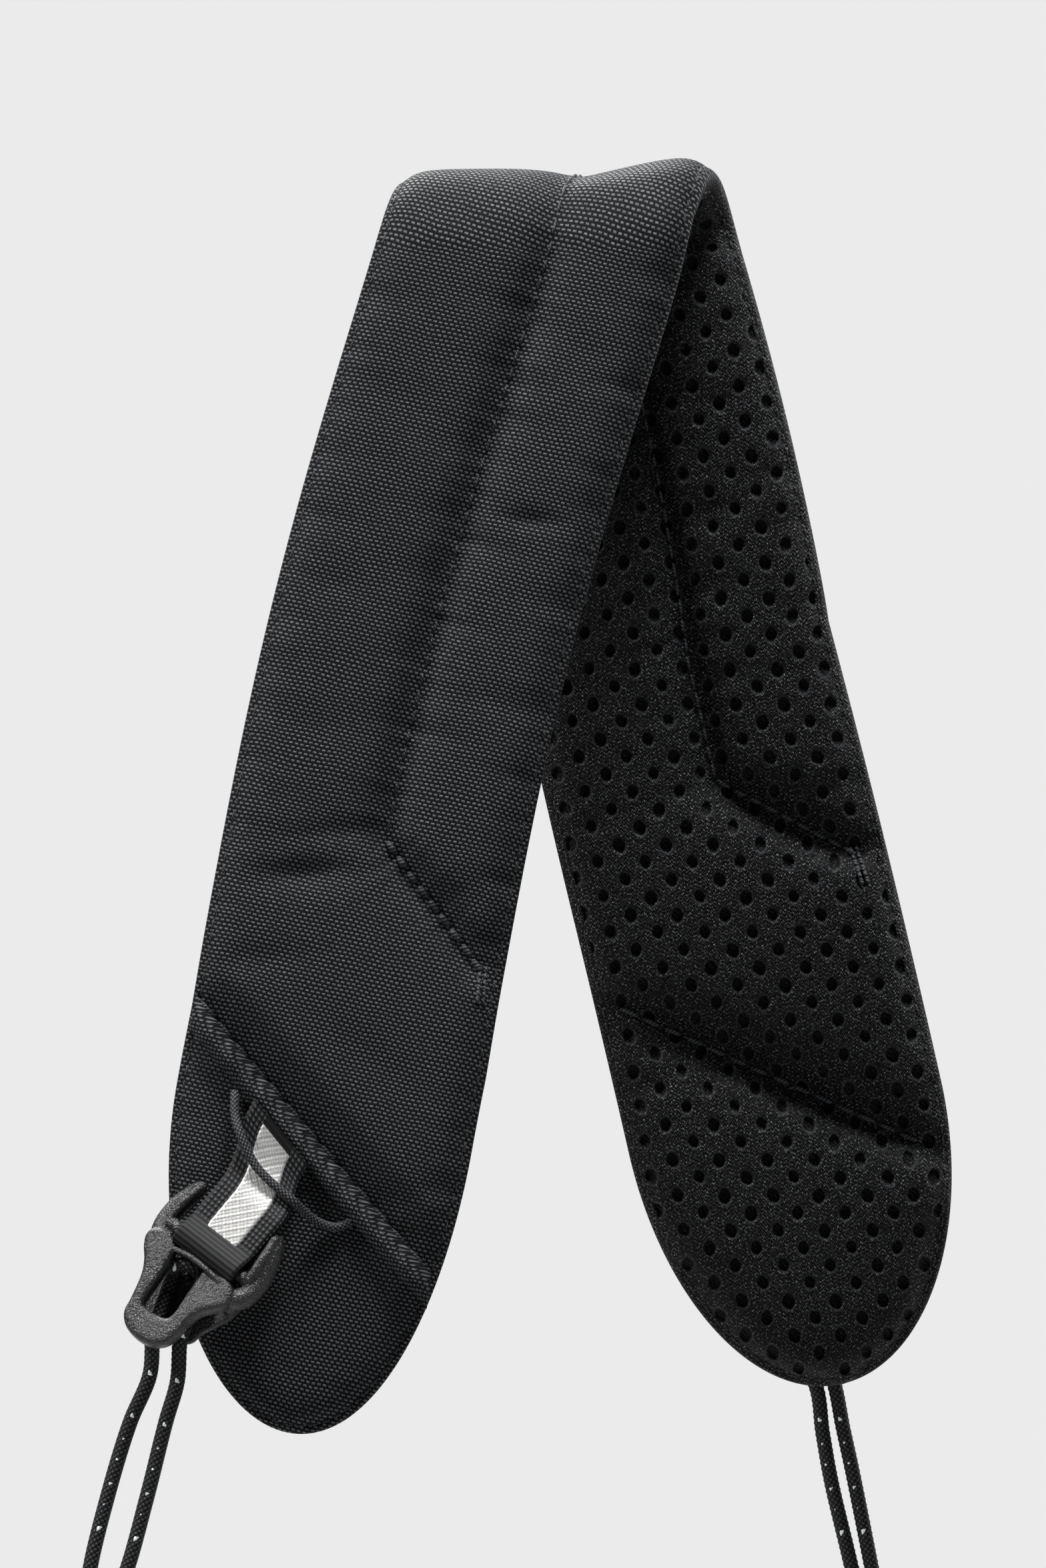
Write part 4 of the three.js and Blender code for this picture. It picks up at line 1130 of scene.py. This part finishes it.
def plate_arrays(outline, low, high, rounding):
    """A flat plate with rounded edges, in millimetres."""
    curve = bpy.data.curves.new("plate", "CURVE")
    curve.dimensions = "2D"
    curve.fill_mode = "BOTH"
    curve.extrude = (high - low) / 2 - rounding
    curve.bevel_depth = rounding
    curve.bevel_resolution = 3
    curve.offset = -rounding
    loop = rounded_loop(outline)
    spline = curve.splines.new("POLY")
    spline.points.add(len(loop) - 1)
    spline.use_cyclic_u = True
    for point, (x, y) in zip(spline.points, loop):
        point.co = (x, y, 0, 1)
    holder = bpy.data.objects.new("plate", curve)
    places, faces = mesh_arrays(bpy.data.meshes.new_from_object(holder))
    bpy.data.objects.remove(holder)
    bpy.data.curves.remove(curve)
    return places + (0, 0, (low + high) / 2), faces


def ball_arrays():
    """A ball of radius 1."""
    mesh = bpy.data.meshes.new("ball")
    shape = bmesh.new()
    bmesh.ops.create_icosphere(shape, subdivisions=2, radius=1)
    shape.to_mesh(mesh)
    shape.free()
    arrays = mesh_arrays(mesh)
    bpy.data.meshes.remove(mesh)
    return arrays


def chain_arrays(chain, ball, step=0.35):
    """A smooth row of overlapping balls through the chain's places."""
    chain = np.array(chain, float)
    line = path_points(chain[:, :3], step)
    given = np.concatenate([[0], np.cumsum(np.linalg.norm(np.diff(chain[:, :3], axis=0), axis=1))])
    radii = np.interp(np.linspace(0, given[-1], len(line)), given, chain[:, 3])
    return [(ball[0] * radius + place, ball[1]) for place, radius in zip(line, radii)]


def hook_arrays():
    """The moulded hook in its own frame (across, along, out), in millimetres."""
    ball = ball_arrays()
    parts = [plate_arrays(PLATE_OUTLINE, *PLATE_HEIGHTS, 1.25)]
    parts += [plate_arrays(TONGUE_OUTLINE, *TONGUE_HEIGHTS, 0.5)]
    for chain in HOOK_CHAINS:
        parts += chain_arrays(chain, ball)
    places, faces, count = [], [], 0
    for part_places, part_faces in parts:
        places.append(part_places)
        faces.append(part_faces + count)
        count += len(part_places)
    mesh = bpy.data.meshes.new("hook_lumps")
    mesh.from_pydata(np.concatenate(places).tolist(), [], np.concatenate(faces).tolist())
    holder = bpy.data.objects.new("hook_lumps", mesh)
    bpy.context.scene.collection.objects.link(holder)
    remesh = holder.modifiers.new("whole", "REMESH")
    remesh.mode = "VOXEL"
    remesh.voxel_size = 0.2
    soften = holder.modifiers.new("soften", "SMOOTH")
    soften.factor = 0.5
    soften.iterations = 7
    graph = bpy.context.evaluated_depsgraph_get()
    arrays = mesh_arrays(bpy.data.meshes.new_from_object(holder.evaluated_get(graph)))
    bpy.data.objects.remove(holder)
    return arrays


def add_hook(name, end, shift, arrays, material):
    places, faces = arrays
    v, u, n = places.T
    world = on_limb(end, in_hook(shift, u, v, n))
    piece = mesh_piece(f"{name}_moulded_hook", world, faces if end > 0 else faces[:, ::-1],
                       uv=np.stack([u, v], -1))
    dress(piece, material, f"{name}_hook", "hook_plastic", f"{name}_hook")


# ---------------------------------------------------------------- cords

def in_cord(end, shift, sideways, forward, rise=0.0):
    """A point beside the cord's own line in its hook."""
    v = POST[0] + math.cos(CORD_LEAN) * sideways + math.sin(CORD_LEAN) * forward
    u = POST[1] + math.sin(CORD_LEAN) * sideways - math.cos(CORD_LEAN) * forward
    return on_limb(end, in_hook(shift, u, v, CORD_LEVEL + rise))


def add_rope(name, body, points, material, shape, replaced):
    places, faces, attributes, uv, line = rope(points, CORD_RADIUS * MM, shape, 0.2 * MM, 36)
    piece = mesh_piece(name, places, faces, attributes, uv)
    dress(piece, material, body, "cord", replaced)
    return piece, line


def knot_points(end, left, right):
    """A tight overhand knot's line, just past the two strands' ends, closed on itself."""
    middle = (np.array(left) + np.array(right)) / 2
    turn = np.linspace(0, 2 * math.pi, 60, endpoint=False)
    x = (np.cos(turn) - 2 * np.cos(2 * turn)) * 1.15
    y = (np.sin(turn) + 2 * np.sin(2 * turn)) * 0.95
    z = -np.sin(3 * turn) * 1.3
    place = middle + np.stack([5.2 + x, y, z], -1)
    return on_limb(end, np.roll(place, 10, axis=0))


def add_cords(name, end, shift, material):
    """A doubled cord: its bight over the hook's post, its two strands and the knot that joins them."""
    body = f"{name}_cord"
    shape = braid(8, 9, 0.13, flecks=(8.7, 2.1))
    turn = np.linspace(0, math.pi, 9)
    bight = [in_cord(end, shift, -BIGHT_RADIUS, 4.2)]
    bight += [
        in_cord(end, shift, -BIGHT_RADIUS * math.cos(a), -1.6 * math.sin(a), 3.1 * math.sin(a)) for a in turn
    ]
    bight += [in_cord(end, shift, BIGHT_RADIUS, 4.2)]
    loop, _ = add_rope(f"{name}_bight", body, bight, material, shape, f"{name}_cord_bight")
    tied = knot_points(end, STRANDS[name, "left"][-1], STRANDS[name, "right"][-1])
    knot, _ = add_rope(f"{name}_knot", body, tied, material, shape, f"{name}_cord_knot")
    for side, sideways in (("left", -BIGHT_RADIUS), ("right", BIGHT_RADIUS)):
        points = [in_cord(end, shift, sideways, forward) for forward in (4.1, 8, 12)]
        points += [on_limb(end, np.array(place)) for place in STRANDS[name, side]]
        strand, line = add_rope(f"{name}_strand_{side}", body, points, material, shape, f"{name}_cord_{side}")


# ---------------------------------------------------------------- camera, light and ground

def add_camera():
    data = bpy.data.cameras.new("camera")
    data.lens = LENS
    data.sensor_width = SENSOR
    data.clip_end = 20
    away = VIEW_HEIGHT * LENS / SENSOR * MM
    camera = bpy.data.objects.new("camera", data)
    camera.location = (VIEW_CENTRE[0] * MM, -away, VIEW_CENTRE[1] * MM)
    camera.rotation_euler = (math.pi / 2, 0, 0)
    bpy.context.scene.collection.objects.link(camera)
    bpy.context.scene.camera = camera


# Softboxes: name, place, what it faces, its size, its power and its colour.
SOFTBOXES = [
    ("key", (-1.15, -0.34, 0.95), (0, 0, -0.1), 0.4, 50, (1, 0.985, 0.97)),
    ("fill", (0.7, -1.2, -0.1), (0, 0, -0.12), 0.6, 2.5, (0.93, 0.965, 1)),
    ("top", (0.2, -0.3, 1.3), (0, 0, -0.1), 0.35, 60, (1, 1, 1)),
    ("rim", (0.9, 0.7, 0.4), (0, 0, -0.1), 0.7, 14, (1, 1, 1)),
    ("back", (-0.3, 1.1, 1), (0, 0, -0.1), 0.6, 34, (1, 1, 1)),
]
BACKGROUND = 0.83  # brightness of the backdrop
AMBIENT = 0.03  # brightness of what the strap's shadow side sees
FLOOR_LEVEL = -0.5
FLOOR_RADIUS = 1.5
FLOOR_TONE = 0.3
DOME_RADIUS = 8


def add_lights():
    """The softboxes and a dim surrounding."""
    for name, place, target, size, power, colour in SOFTBOXES:
        data = bpy.data.lights.new(name, "AREA")
        data.shape = "SQUARE"
        data.size = size
        data.energy = power
        data.color = colour
        light = bpy.data.objects.new(name, data)
        light.location = place
        light.rotation_euler = (Vector(target) - Vector(place)).to_track_quat("-Z", "Y").to_euler()
        bpy.context.scene.collection.objects.link(light)
    world = bpy.data.worlds.new("studio")
    world.use_nodes = True
    surroundings = world.node_tree.nodes["Background"]
    surroundings.inputs["Color"].default_value = (1, 1, 1, 1)
    surroundings.inputs["Strength"].default_value = AMBIENT
    bpy.context.scene.world = world
    bpy.context.scene.view_settings.view_transform = "Standard"


def add_floor():
    """A round pale floor whose rim brightens into the backdrop."""
    g = Graph("pale_floor")
    place = g.add("ShaderNodeNewGeometry", output="Position")
    split = g.nodes.new("ShaderNodeSeparateXYZ")
    g.put(split.inputs[0], place)
    squares = [g.math("MULTIPLY", split.outputs[axis], split.outputs[axis]) for axis in (0, 1)]
    radius = g.math("SQRT", g.math("ADD", *squares))
    glow = g.ramp(radius, 0.5, FLOOR_RADIUS, 0, BACKGROUND)
    uneven = g.math("MULTIPLY_ADD", g.noise(place, 3, 3), 0.15, radius)
    tone = g.ramp(uneven, 0.5, FLOOR_RADIUS, FLOOR_TONE, 0)
    colour = g.add("ShaderNodeCombineColor", {"Red": tone, "Green": tone, "Blue": tone})
    angles = np.linspace(0, 2 * math.pi, 97)[:-1]
    rim = [(FLOOR_RADIUS * math.cos(a), FLOOR_RADIUS * math.sin(a), FLOOR_LEVEL) for a in angles]
    floor = mesh_piece("floor", rim, [tuple(range(len(rim)))])
    material = g.finish(colour, 0.9, Emission_Color=(1, 1, 1, 1), Emission_Strength=glow)
    floor.data.materials.append(material)


def add_backdrop():
    """A lit pale dome around the strap and every camera. Only cameras see it, so it casts no light."""
    g = Graph("lit_backdrop")
    glow = {"Emission_Color": (BACKGROUND, BACKGROUND, BACKGROUND, 1), "Emission_Strength": 1}
    mesh = bmesh.new()
    bmesh.ops.create_uvsphere(mesh, u_segments=48, v_segments=24, radius=DOME_RADIUS)
    data = bpy.data.meshes.new("backdrop")
    mesh.to_mesh(data)
    mesh.free()
    data.materials.append(g.finish((0, 0, 0, 1), 1, Specular_IOR_Level=0, **glow))
    dome = bpy.data.objects.new("backdrop", data)
    bpy.context.scene.collection.objects.link(dome)
    dome.visible_diffuse = False
    dome.visible_glossy = False
    dome.visible_shadow = False


# ---------------------------------------------------------------- the whole strap

def build():
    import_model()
    settle_pad()
    add_camera()
    cord = cord_material("flecked_cord", 0.003, 0.06)
    for name, (end, shift) in ENDS.items():
        add_cords(name, end, shift, cord)
    add_lights()
    add_floor()
    add_backdrop()
    woven, thread, webbing = woven_material(), thread_material(), webbing_material()
    stripe, plastic = stripe_material(), plastic_material()
    elastic = cord_material("braided_elastic", 0.003, 0.11)
    add_face(woven)
    add_lining(lining_material())
    add_pad_stitching(thread)
    add_rim_stitching(thread)
    lumps = hook_arrays()
    for name, (end, shift) in ENDS.items():
        add_hem(name, end, woven, thread)
        add_webbing(name, end, shift, webbing)
        add_stripe(name, end, shift, stripe)
        add_keeper(name, end, shift, elastic)
        add_hook(name, end, shift, lumps, plastic)


build()
